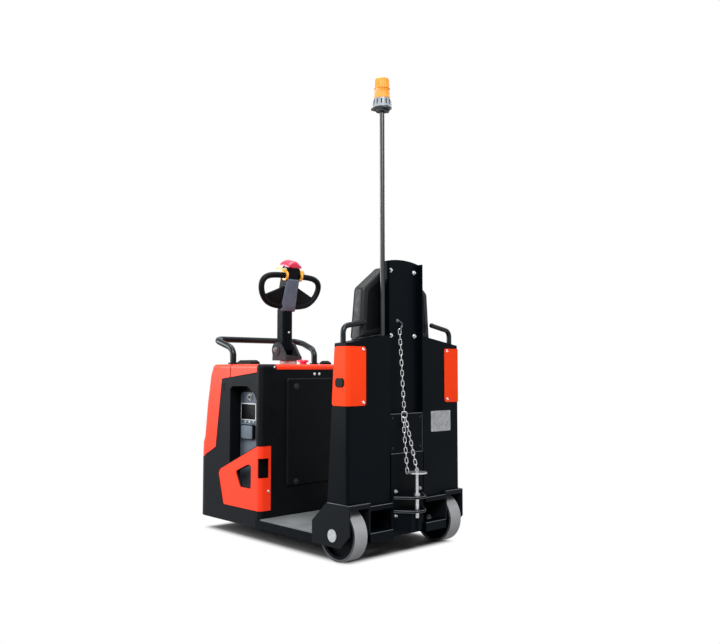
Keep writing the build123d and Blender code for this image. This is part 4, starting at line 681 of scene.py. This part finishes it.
# Padded backrest
CUSHION_BACK = REAR + 0.096
CUSHION_THICK = 0.054
CUSHION_LOW = 1.0423
CUSHION_LOW_MID = 1.062
CUSHION_SHOULDER = 1.284
CUSHION_TOP = 1.394
CUSHION_HALF = 0.248
CUSHION_TOP_HALF = 0.092
CUSHION_TAPER = 0.016
CHANNEL_HALF = 0.120
CUSHION_ROUNDS = (0.006, 0.020, 0.020, 0.006, 0.030, 0.030, 0.030, 0.030)
PAD_INSET = 0.006
PAD_GROWTH = 0.0075
LEAN = 0.045
DART_HEIGHTS = (1.168, 1.276)
DART_REACH = 0.016
DART_DEPTH = 0.006
SIM_FRAMES = 20


def curve_point(first, corner, last, t):
    """Point on the arc that cuts a corner."""
    return tuple(first * (1 - t) ** 2 + corner * 2 * t * (1 - t) + last * t**2)


def round_corners(points, radii, steps=6):
    """Closed outline with its corners rounded, each by its own radius."""
    result = []
    count = len(points)
    for index, radius in enumerate(radii):
        corner = Vector(points[index])
        before = Vector(points[index - 1]) - corner
        after = Vector(points[(index + 1) % count]) - corner
        half_angle = before.angle(after) / 2
        cut = min(radius / math.tan(half_angle), before.length * 0.45, after.length * 0.45)
        first = corner + before.normalized() * cut
        last = corner + after.normalized() * cut
        for step in range(steps + 1):
            result.append(curve_point(first, corner, last, step / steps))
    return result


def cushion_outline(inset):
    """The pad's (y, z) outline, drawn in by inset."""
    half = CUSHION_HALF - inset
    top_half = CUSHION_TOP_HALF - inset * 0.4
    shoulder = CUSHION_SHOULDER - inset * 0.4
    points = [
        (-half, CUSHION_LOW + inset),
        (-CHANNEL_HALF, CUSHION_LOW_MID + inset),
        (CHANNEL_HALF, CUSHION_LOW_MID + inset),
        (half, CUSHION_LOW + inset),
        (half - CUSHION_TAPER, shoulder),
        (top_half, CUSHION_TOP - inset),
        (-top_half, CUSHION_TOP - inset),
        (CUSHION_TAPER - half, shoulder),
    ]
    return round_corners(points, CUSHION_ROUNDS)


def stuff(pad):
    """Blow the pad up as sewn cloth, with a cap on how far a point may move."""
    start = [vert.co.copy() for vert in pad.data.vertices]
    cloth = pad.modifiers.new("stuffing", "CLOTH")
    cloth.settings.quality = 6
    cloth.settings.use_pressure = True
    cloth.settings.uniform_pressure_force = 4.0
    cloth.settings.effector_weights.gravity = 0.0
    cloth.settings.tension_stiffness = 30.0
    cloth.settings.compression_stiffness = 30.0
    cloth.point_cache.frame_start = 1
    cloth.point_cache.frame_end = SIM_FRAMES
    for number in range(1, SIM_FRAMES + 1):
        bpy.context.scene.frame_set(number)
    blown = pad.evaluated_get(bpy.context.evaluated_depsgraph_get())
    places = [vert.co.copy() for vert in blown.data.vertices]
    pad.modifiers.clear()
    bpy.context.scene.frame_set(1)
    for vert, old, new in zip(pad.data.vertices, start, places):
        move = new - old
        if move.length > PAD_GROWTH:
            move = move.normalized() * PAD_GROWTH
        vert.co = old + move


def add_cushion():
    """Padded backrest: a remeshed plate, stuffed, quilted and leaned."""
    bm = bmesh.new()
    depth = CUSHION_THICK - 0.010
    base = (CUSHION_BACK + 0.003, 0.0, 0.0)
    prism(bm, cushion_outline(PAD_INSET), base, LEFTWARD, UPWARD, depth, 0.014)
    bmesh.ops.recalc_face_normals(bm, faces=bm.faces)
    mesh = bpy.data.meshes.new("backrest_pad")
    bm.to_mesh(mesh)
    bm.free()
    pad = link_new("backrest_pad", mesh)
    remesh = pad.modifiers.new("voxel", "REMESH")
    remesh.mode = "VOXEL"
    remesh.voxel_size = 0.006
    graph = bpy.context.evaluated_depsgraph_get()
    rest = bpy.data.meshes.new_from_object(pad.evaluated_get(graph))
    pad.modifiers.clear()
    pad.data = rest
    stuff(pad)
    front = CUSHION_BACK + CUSHION_THICK
    for vert in rest.vertices:
        vert.co.x = min(max(vert.co.x, CUSHION_BACK + 0.0008), front)
        dart_pull(vert.co)
        vert.co.x += cushion_lean(vert.co.z)
    rest.materials.clear()
    rest.materials.append(materials["black_vinyl"])
    rest.shade_smooth()
    smooth = pad.modifiers.new("round", "SUBSURF")
    smooth.levels = 1
    smooth.render_levels = 1
    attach(pad, "chassis")
    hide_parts("backrest_cushion")


def cushion_lean(height):
    """The pad leans, its foot further forward than its top."""
    return LEAN * (CUSHION_TOP - height)


def dart_pull(place):
    """Two stitched channels across the front of the pad."""
    depth_share = (place.x - CUSHION_BACK) / CUSHION_THICK
    if depth_share < 0.6:
        return
    for height in DART_HEIGHTS:
        near = abs(place.z - height)
        if near < DART_REACH:
            dip = 0.5 + 0.5 * math.cos(math.pi * near / DART_REACH)
            place.x -= DART_DEPTH * dip * min(1.0, (depth_share - 0.6) * 5)


def add_boxing():
    """Vinyl band round the pad's side and over the board's back, piped at its front seam."""
    bm = bmesh.new()
    rings = []
    for depth, inset in (
        (-0.0128, 0.034),
        (-0.0128, 0.014),
        (-0.0110, 0.009),
        (-0.0045, 0.002),
        (0.0010, 0.0),
        (0.0100, -0.001),
        (0.0220, -0.0015),
        (0.0340, -0.0015),
        (0.0400, 0.0),
        (0.0430, 0.003),
    ):
        share = min(1.0, max(0.0, depth / 0.034))
        drop = 0.012 if depth > 0.02 else 0.0
        ring = []
        for y, z in cushion_outline(inset):
            low = z - drop if z < 1.075 else z
            ring.append(bm.verts.new((CUSHION_BACK + depth + share * cushion_lean(z), y, low)))
        rings.append(ring)
    for first, second in zip(rings[:-1], rings[1:]):
        bridge(bm, first, second)
    piping = [(CUSHION_BACK + 0.043 + cushion_lean(z), y, z) for y, z in cushion_outline(0.001)]
    tube(bm, piping, 0.0024, 8, True)
    finish_mesh("backrest_boxing", bm, "black_vinyl", "chassis", 60.0)


# Fasteners
def add_fasteners():
    """Bright and dark screws and bolts, the fascia's lamps and the tilt pivot."""
    bright = bmesh.new()
    for side in (1, -1):
        for z in (0.985, 0.738):
            socket_screw(bright, (COL_REAR - 0.004, side * 0.299, z), REARWARD, 0.0075, 0.005)
        for z in (1.378, 1.057):
            hex_bolt(bright, (WEB_FACE, side * 0.084, z), REARWARD, 0.0078, 0.010)
        for z in (0.305, 0.190):
            hex_bolt(bright, (HITCH_FACE, side * 0.084, z), REARWARD, 0.006, 0.010)
        socket_screw(bright, (BODY_REAR, side * 0.311, 0.902), REARWARD, 0.006, 0.004)
        socket_screw(bright, (BODY_REAR, side * 0.345, 0.257), REARWARD, 0.007, 0.004)
        for step in range(3):
            angle = math.radians(90 + 120 * step)
            x = RAIL_X + 0.0225 * math.cos(angle)
            y = side * 0.299 + 0.0225 * math.sin(angle)
            socket_screw(bright, (x, y, COVER_TOP + 0.012), UPWARD, 0.0035, 0.003)
    for y in (-0.317, -0.183):
        for z in (0.583, 0.673):
            socket_screw(bright, (COL_REAR - 0.0015, y, z), REARWARD, 0.0035, 0.002)
    finish_mesh("bright_fasteners", bright, "zinc_steel", "chassis")
    dark = bmesh.new()
    cup = [(0.016, 0.0), (0.016, 0.0015), (0.0145, 0.0025), (0.011, 0.0025), (0.0105, 0.001)]
    for y in (0.170, -0.170):
        for z in (0.799, 0.292):
            lathe(dark, cup, (BODY_REAR - 0.010, y, z), REARWARD)
            socket_screw(dark, (BODY_REAR - 0.010, y, z), REARWARD, 0.0095, 0.0055)
    for side in (1, -1):
        for z in (0.510, 0.655):
            socket_screw(dark, (COL_REAR + 0.003, side * 0.098, z), REARWARD, 0.006, 0.004)
    finish_mesh("dark_fasteners", dark, "dark_cast", "chassis")
    lamps = bmesh.new()
    bezel = [(0.0075, 0.0), (0.0075, 0.0015), (0.0055, 0.002)]
    bulb = [(0.005, 0.003), (0.003, 0.0042), (0.0, 0.0046)]
    for y in (0.035, 0.001):
        lathe(lamps, bezel + bulb, (BODY_REAR, y, 0.865), REARWARD, 24)
    finish_mesh("fascia_lamps", lamps, "lamp_white", "chassis")
    pivots = bmesh.new()
    for side in (1, -1):
        hex_bolt(pivots, (TILT_X, side * 0.065, TILT_Z), (0, side, 0), 0.011, 0.012)
    finish_mesh("tilt_bolts", pivots, "worn_paint", "steering")


# Black wires along the joints of the covers: painted shade of the gaps
COVER_ROUND = 0.020
TRAY_ROUND = 0.026
TRAY_LOW = 0.157
TRAY_HIGH = 0.492
TRAY_INNER = 0.328
SEAM_WIRE = 0.0015
SPLIT_WIRE = 0.0023
WINDOW_WIRE = 0.0062
WINDOW = ((0.225, 0.346), (0.110, 0.391), (0.077, 0.389), (0.080, 0.265), (0.179, 0.266))


def corner_arc(radius, steps=6):
    """Quarter circle offsets."""
    angles = [math.radians(90.0 * step / steps) for step in range(steps + 1)]
    return [(radius * math.cos(angle), radius * math.sin(angle)) for angle in angles]


def soften(points, radius):
    """Open line with rounded inner corners."""
    result = [points[0]]
    for index in range(1, len(points) - 1):
        corner = Vector(points[index])
        first = corner + (Vector(points[index - 1]) - corner).normalized() * radius
        last = corner + (Vector(points[index + 1]) - corner).normalized() * radius
        result += [curve_point(first, corner, last, step / 4) for step in range(5)]
    result.append(points[-1])
    return result


def add_seam_shade_wires():
    """Black wires over the split of the covers, along the cheeks and trays, and in the windows:
    painted shade of the gaps and of the window walls.
    """
    bm = bmesh.new()
    split_z = 0.839 + (0.449 - STEER_X) * (0.035 / 0.325)
    over = [(HALF, split_z)]
    for y, z in corner_arc(COVER_ROUND):
        over.append((HALF - COVER_ROUND + y, COVER_TOP - COVER_ROUND + z))
    over.append((0.060, COVER_TOP))
    cheek = [(FRONT - 0.078, 0.409), (FRONT - 0.185, 0.462), (FRONT - 0.241, 0.839)]
    cheek.append((PILLAR_X, 0.874))
    bend_x = BODY_REAR + TRAY_ROUND
    tray = [(bend_x, TRAY_LOW), (FRONT - 0.266, TRAY_LOW), (FRONT - 0.215, 0.321)]
    tray += [(FRONT - 0.228, 0.345), (bend_x, TRAY_HIGH)]
    edge = HALF + 0.0002
    for side in (1, -1):
        tube(bm, [(STEER_X, side * y, z) for y, z in over], SPLIT_WIRE, 8)
    for side in (1, -1):
        tube(bm, [(x, side * edge, z) for x, z in cheek], SEAM_WIRE, 8)
        line = [(x, side * edge, z) for x, z in soften(tray, 0.010)]
        wrap = [
            (bend_x - back, side * (HALF - TRAY_ROUND + out))
            for out, back in corner_arc(TRAY_ROUND)
        ]
        wrap.append((BODY_REAR, side * TRAY_INNER))
        low = [(x, y, TRAY_LOW) for x, y in wrap]
        high = [(x, y, TRAY_HIGH) for x, y in wrap]
        tube(bm, low[::-1] + line[1:-1] + high + [low[-1]], SEAM_WIRE, 8)
        outline = round_corners(WINDOW, [0.015] * len(WINDOW))
        rim = [(BODY_REAR + x, side * (HALF - 0.0115), z) for x, z in outline]
        tube(bm, rim, WINDOW_WIRE, 8, True)
    finish_mesh("cover_seam_shade", bm, "black_rubber", "chassis", 60.0)


# Fittings in the left pocket
SIGN_X = 0.290
SIGN_Z = 0.661
SIGN_FRAME = 0.0012
HINGE_Z = 0.5965


def panel_plate(bm, outline, place, thick, edge):
    """Plate that faces left."""
    prism(bm, outline, place, REARWARD, UPWARD, thick, edge)


def add_pocket_fittings():
    """Key ring, blank sign in its frame, signal lamps and the socket's flap."""
    bm = bmesh.new()
    collar = [(0.0175, 0.0), (0.0175, 0.0025), (0.016, 0.0035), (0.0145, 0.0035), (0.0142, 0.001)]
    lathe(bm, collar, (KEY_X, PANEL_FACE, KEY_Z), LEFTWARD)
    border = rounded(0.139, 0.092, 0.006)
    panel_plate(bm, border, (SIGN_X, PANEL_FACE, SIGN_Z), SIGN_FRAME, 0.0004)
    finish_mesh("panel_trim", bm, "lamp_white", "chassis")
    dark = bmesh.new()
    blank = rounded(0.129, 0.082, 0.004)
    panel_plate(dark, blank, (SIGN_X, PANEL_FACE + SIGN_FRAME, SIGN_Z), 0.0006, 0.0002)
    key_face = (KEY_X, PANEL_FACE + 0.0101, KEY_Z)
    barrel = [(0.0092, 0.0), (0.0092, 0.0008), (0.0085, 0.0012), (0.0, 0.0012)]
    lathe(dark, barrel, key_face, LEFTWARD, 28)
    finish_mesh("panel_blank", dark, "black_plastic", "chassis")
    lamps = bmesh.new()
    lamp = [(0.005, 0.0), (0.005, 0.001), (0.0035, 0.0025), (0.0, 0.003)]
    for x in (0.319, 0.281, 0.243):
        lathe(lamps, lamp, (x, PANEL_FACE, 0.606), LEFTWARD, 20)
    finish_mesh("panel_lamps", lamps, "lamp_white", "chassis")
    flap = bmesh.new()
    face = PANEL_FACE + 0.0102
    panel_plate(flap, rounded(0.100, 0.070, 0.008), (SOCKET_X, face, SOCKET_Z), 0.008, 0.0025)
    hinge = [(SOCKET_X + end * 0.044, face + 0.004, HINGE_Z) for end in (-1, 1)]
    tube(flap, hinge, 0.0035, 12)
    finish_mesh("socket_flap", flap, "grey_plastic", "chassis")


# Beacon with a ribbed lens
FLUTES = 24
FLUTE_DEPTH = 0.0012
SLOTS = 12


def add_beacon():
    """Lens of plain and fluted bands, the bulb in it, and the skirt with black strips over its
    slots: painted shade of the openings.
    """
    bm = bmesh.new()
    seat = (POLE_X, POLE_Y, LENS_Z)
    foot = [(0.0405, 0.0), (0.0410, 0.001), (0.0410, 0.0075), (0.0400, 0.009), (0.0382, 0.0098)]
    lower = [(0.0382, 0.0098), (0.0378, 0.0115), (0.0370, 0.0465), (0.0378, 0.0480)]
    ridge = [(0.0378, 0.0480), (0.0392, 0.0492), (0.0392, 0.0535), (0.0380, 0.0548)]
    ridge.append((0.0366, 0.0552))
    upper = [(0.0366, 0.0552), (0.0362, 0.0570), (0.0348, 0.0930), (0.0340, 0.0965)]
    cap = [(0.0340, 0.0965), (0.0322, 0.1000), (0.0285, 0.1030), (0.0200, 0.1048), (0.0, 0.1054)]
    for band in (foot, lower, ridge, upper, cap):
        if band in (lower, upper):
            lathe(bm, band, seat, UPWARD, 192, FLUTES, FLUTE_DEPTH)
        else:
            lathe(bm, band, seat, UPWARD, 96)
    dome = finish_mesh("beacon_dome", bm, "amber_lens", "chassis", 50.0)
    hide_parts("beacon_lens")
    bulb = bmesh.new()
    glass = [(0.016, 0.001), (0.016, 0.030), (0.012, 0.034), (0.012, 0.060)]
    lathe(bulb, glass + [(0.009, 0.070), (0.0, 0.074)], seat, UPWARD, 24)
    finish_mesh("beacon_bulb", bulb, "lamp_white", "chassis")
    skirt = bmesh.new()
    edge = [(0.0402, 0.0), (0.0418, -0.001), (0.0424, -0.005), (0.0436, -0.022)]
    edge += [(0.0466, -0.038), (0.0485, -0.0455), (0.0475, -0.0470), (0.0402, -0.0470)]
    lathe(skirt, edge, seat, UPWARD, 60)
    finish_mesh("beacon_skirt", skirt, "pale_plastic", "chassis")
    # black strips standing proud of the skirt: painted shade of the slot openings
    slots = bmesh.new()
    for step in range(SLOTS):
        angle = math.radians(360 // SLOTS * step + 12)
        out = Vector((math.cos(angle), math.sin(angle), 0.0))
        line = []
        for reach, drop in ((0.0412, 0.008), (0.0412, 0.020), (0.0434, 0.032)):
            line.append(Vector(seat) + out * reach - Vector((0.0, 0.0, drop)))
        tube(slots, line, 0.0036, 12)
    finish_mesh("beacon_slot_shade", slots, "black_rubber", "chassis")


# Tiller trim: rows of the head's cover are (height, half width, crown)
COVER_ROWS = (
    (-0.004, 0.050, 0.004),
    (0.0, 0.0530, 0.010),
    (0.006, 0.0540, 0.0135),
    (0.030, 0.0530, 0.0150),
    (0.080, 0.0510, 0.0150),
    (0.130, 0.0490, 0.0145),
    (0.172, 0.0472, 0.0135),
    (0.182, 0.0460, 0.0120),
    (0.187, 0.0430, 0.0060),
    (0.1875, 0.0410, 0.0010),
)
COVER_BASE = 0.0292


def head_spot(across, height, ahead):
    """Point on the leaning head: across, up along it and ahead of its middle."""
    x = TILT_X - math.sin(HEAD_LEAN) * height + math.cos(HEAD_LEAN) * ahead
    z = HEAD_Z + math.cos(HEAD_LEAN) * height + math.sin(HEAD_LEAN) * ahead
    return Vector((x, across, z))


def add_tiller_trim():
    """Side buttons, the grey cover on the head's back and the screw in the arm."""
    bm = bmesh.new()
    button = [(0.017, 0.0), (0.017, 0.004), (0.0145, 0.0062), (0.013, 0.0062)]
    button += [(0.011, 0.0095), (0.006, 0.0115), (0.0, 0.012)]
    for side in (1, -1):
        lathe(bm, button, head_spot(side * 0.046, 0.232, -0.004), (0, side, 0), 28)
    finish_mesh("horn_buttons", bm, "pale_plastic", "tiller")
    shell = bmesh.new()
    rows = []
    for height, half, proud in COVER_ROWS:
        row = []
        for step in range(17):
            turn = -1.0 + step / 8.0
            crown = max(0.0, 1.0 - abs(turn) ** 5)
            depth = COVER_BASE + proud * (0.02 + 0.98 * crown)
            row.append(shell.verts.new(head_spot(half * turn, height, -depth)))
        rows.append(row)
    for lower, upper in zip(rows[:-1], rows[1:]):
        for step in range(16):
            shell.faces.new((lower[step], lower[step + 1], upper[step + 1], upper[step]))
    bmesh.ops.solidify(shell, geom=shell.faces[:], thickness=0.0012)
    skin = finish_mesh("head_cover_skin", shell, "cover_grey", "tiller", 35.0)
    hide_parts("head_cover")
    arm = bmesh.new()
    socket_screw(arm, (TILT_X - 0.038, 0.0, 1.105), REARWARD, 0.007, 0.005)
    finish_mesh("arm_screw", arm, "zinc_steel", "tiller")


# Tiller head: half outlines of the grips are (across, height), cap rows (ahead, swell)
GRIP_LOOP = (
    ((0.040, 0.2040), (0.075, 0.2040), (0.115, 0.2030), (0.158, 0.1975))
    + ((0.190, 0.1830), (0.206, 0.1580), (0.2065, 0.1260), (0.193, 0.0900))
    + ((0.168, 0.0590), (0.135, 0.0380), (0.090, 0.0270), (0.040, 0.0235))
)
GRIP_WEB = (
    ((0.040, 0.0085), (0.090, 0.0130), (0.135, 0.0250), (0.170, 0.0520))
    + ((0.186, 0.0780), (0.166, 0.0880), (0.040, 0.1440))
)
GRIP_AHEAD = -0.019
GRIP_RADIUS = 0.017
CAP_ROWS = (
    ((-0.0345, 0.10), (-0.0335, 0.45), (-0.0290, 0.78), (-0.0200, 0.95), (-0.0050, 1.0))
    + ((0.0150, 1.0), (0.0380, 0.98), (0.0500, 0.90), (0.0540, 0.70), (0.0550, 0.40))
)
CAP_FOOT = 0.2545


def add_head():
    """Head block with round grip loops, red cap and thumb paddles."""
    bm = bmesh.new()
    left = Vector((0.0, 1.0, 0.0))
    up = head_spot(0.0, 1.0, 0.0) - head_spot(0.0, 0.0, 0.0)
    ahead = left.cross(up)
    block = rounded(0.092, 0.245, 0.014)
    prism(bm, block, head_spot(0.0, 0.1315, 0.029), -left, up, 0.058, 0.009)
    neck = rounded(0.072, 0.066, 0.018)
    prism(bm, neck, (TILT_X, 0.0, HEAD_Z + 0.0003), FORWARD, LEFTWARD, 0.030, 0.0)
    for side in (1, -1):
        grip = [head_spot(side * u, v, GRIP_AHEAD) for u, v in GRIP_LOOP]
        tube(bm, smooth_path(grip, 6), GRIP_RADIUS, 16)
        web = [(-side * u, v) for u, v in GRIP_WEB]
        prism(bm, web, head_spot(0.0, 0.0, -0.011), -left, up, 0.016, 0.004)
    shell = finish_mesh("tiller_head_shell", bm, "black_plastic", "tiller", 42.0)
    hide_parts("tiller_head")
    cap = bmesh.new()
    rows = []
    for depth, swell in CAP_ROWS:
        half = 0.0440 + 0.0035 * swell
        row = [cap.verts.new(head_spot(half, CAP_FOOT, depth))]
        for step in range(25):
            turn = 1.0 - step / 12.0
            arch = 0.0045 + 0.0080 * swell + 0.0255 * swell * (1.0 - turn * turn)
            row.append(cap.verts.new(head_spot(half * turn, CAP_FOOT + arch, depth)))
        row.append(cap.verts.new(head_spot(-half, CAP_FOOT, depth)))
        rows.append(row)
    for first, second in zip(rows[:-1], rows[1:]):
        bridge(cap, first, second)
    cap.faces.new(rows[0])
    cap.faces.new(rows[-1])
    button = finish_mesh("belly_cap", cap, "red_plastic", "tiller", 50.0)
    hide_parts("belly_button")
    thumbs = bmesh.new()
    ring = [(0.0178, -0.0062), (0.0270, -0.0062), (0.0290, -0.0042), (0.0290, 0.0042)]
    ring += [(0.0270, 0.0062), (0.0178, 0.0062), (0.0178, -0.0062)]
    for side in (1, -1):
        lathe(thumbs, ring, head_spot(side * 0.0535, 0.204, GRIP_AHEAD), left, 36)
        paddle = head_spot(side * 0.0645, 0.2285, 0.010)
        prism(thumbs, rounded(0.072, 0.034, 0.012), paddle, ahead, left, 0.012, 0.004)
        rib = head_spot(side * 0.0680, 0.2240, -0.020)
        prism(thumbs, rounded(0.026, 0.022, 0.006), rib, ahead, left, 0.006, 0.0)
    yellow = "yellow_plastic"
    wheels = finish_mesh("thumb_paddles", thumbs, yellow, "tiller", 42.0)
    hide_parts("thumb_wheels")


def add_collar():
    """Bright collar under the tiller bracket."""
    bm = bmesh.new()
    ring = [(0.0471, 0.0), (0.0492, 0.001), (0.0498, 0.0025), (0.0498, 0.0185)]
    ring += [(0.0490, 0.0205), (0.0471, 0.0214)]
    lathe(bm, ring, (STEER_X, 0.0, COVER_TOP + 0.0022), UPWARD, 56)
    finish_mesh("steering_collar", bm, "pale_steel", "steering")


# Welds and painted edge highlights on the coupling and the frame
GUARD_INNER = 0.2655
SKIN = 0.0004


def bead(bm, start, end, radius):
    """Weld seam with a wavering surface."""
    start = Vector(start)
    run = Vector(end) - start
    count = max(4, int(run.length / (radius * 0.9)))
    points = []
    for step in range(count + 1):
        wobble = 0.25 * radius * math.sin(step * 2.4)
        points.append(start + run * (step / count) + Vector((0.0, 0.0, wobble)))
    tube(bm, points, radius, 8)


def add_welds():
    """Beads on top of the jaw plates and along the ends of the cross beams."""
    bm = bmesh.new()
    root = HITCH_FACE - 0.0015
    for z in JAW_TOPS:
        bead(bm, (root, -0.100, z + 0.001), (root, 0.100, z + 0.001), 0.0032)
    for side in (1, -1):
        y = side * GUARD_INNER
        for z in (0.236, 0.1335):
            bead(bm, (REAR + 0.002, y, z), (REAR + 0.058, y, z), 0.003)
    finish_mesh("weld_beads", bm, "black_paint", "chassis", 70.0)


def add_painted_edge_highlights():
    """Pale strips along the top edges of the jaw plates, lid, beams and guards: painted
    highlights where the top light would catch the edges.
    """
    bm = bmesh.new()
    tip = REAR - 0.078
    half_jaw = [(HITCH_FACE - 0.004, 0.1010), (tip + 0.026, 0.052), (tip, 0.028)]
    jaw = half_jaw + [(x, -y) for x, y in reversed(half_jaw)]
    for z in JAW_TOPS:
        for drop, radius in ((0.0008, 0.0016), (0.0092, 0.0009)):
            tube(bm, [(x - 0.0003, y, z - drop) for x, y in jaw], radius, 8)
    lid = COL_REAR + 0.0034
    hitch = HITCH_FACE + SKIN
    rear = REAR + SKIN
    tube(bm, [(lid, -0.1125, 0.6746), (lid, 0.1125, 0.6746)], 0.0014, 8)
    tube(bm, [(lid, -0.1135, 0.4900), (lid, -0.1135, 0.6720)], 0.0010, 8)
    tube(bm, [(hitch, -0.1120, 0.4846), (hitch, 0.1120, 0.4846)], 0.0014, 8)
    for side in (1, -1):
        for z in (0.256 - SKIN, 0.132 - SKIN):
            tube(bm, [(rear, side * 0.1180, z), (rear, side * 0.2650, z)], 0.0014, 8)
        guard = ((rear, 0.2670), (rear, 0.3990), (REAR + 0.1500, 0.3994))
        tube(bm, [(x, side * y, GUARD_TOP - SKIN) for x, y in guard], 0.0014, 8)
    finish_mesh("painted_edge_highlights", bm, "worn_paint", "chassis", 60.0)


SOFT_EDGED = (
    *("nose_cover", "side_trays", "side_panels", "corner_covers", "top_cover"),
    *("column_wings", "column_panel", "wheel_guards", "rear_frame", "back_plate"),
    *("channel_lid", "tow_coupling", "platform_frame", "front_skirt", "rear_fascia"),
    *("side_pockets", "tow_pin", "tiller_base", "control_panel", "charge_socket"),
    "deck_mat",
)


def add_edge_rounding():
    """Small rounding on the edges of plates and mouldings."""
    for name in SOFT_EDGED:
        bevel = nodes[name].modifiers.new("soft_edges", "BEVEL")
        bevel.width = 0.0012
        bevel.segments = 2
        bevel.limit_method = "ANGLE"
        bevel.angle_limit = math.radians(40.0)
        bevel.harden_normals = True
        bevel.use_clamp_overlap = True


add_camera()
dress_nodes()
add_floor()
add_light()
add_chain()
add_hook()
add_cushion()
add_boxing()
add_fasteners()
add_seam_shade_wires()
add_pocket_fittings()
add_beacon()
add_tiller_trim()
add_head()
add_collar()
add_welds()
add_painted_edge_highlights()
add_edge_rounding()

bpy.context.scene.view_settings.view_transform = "Standard"
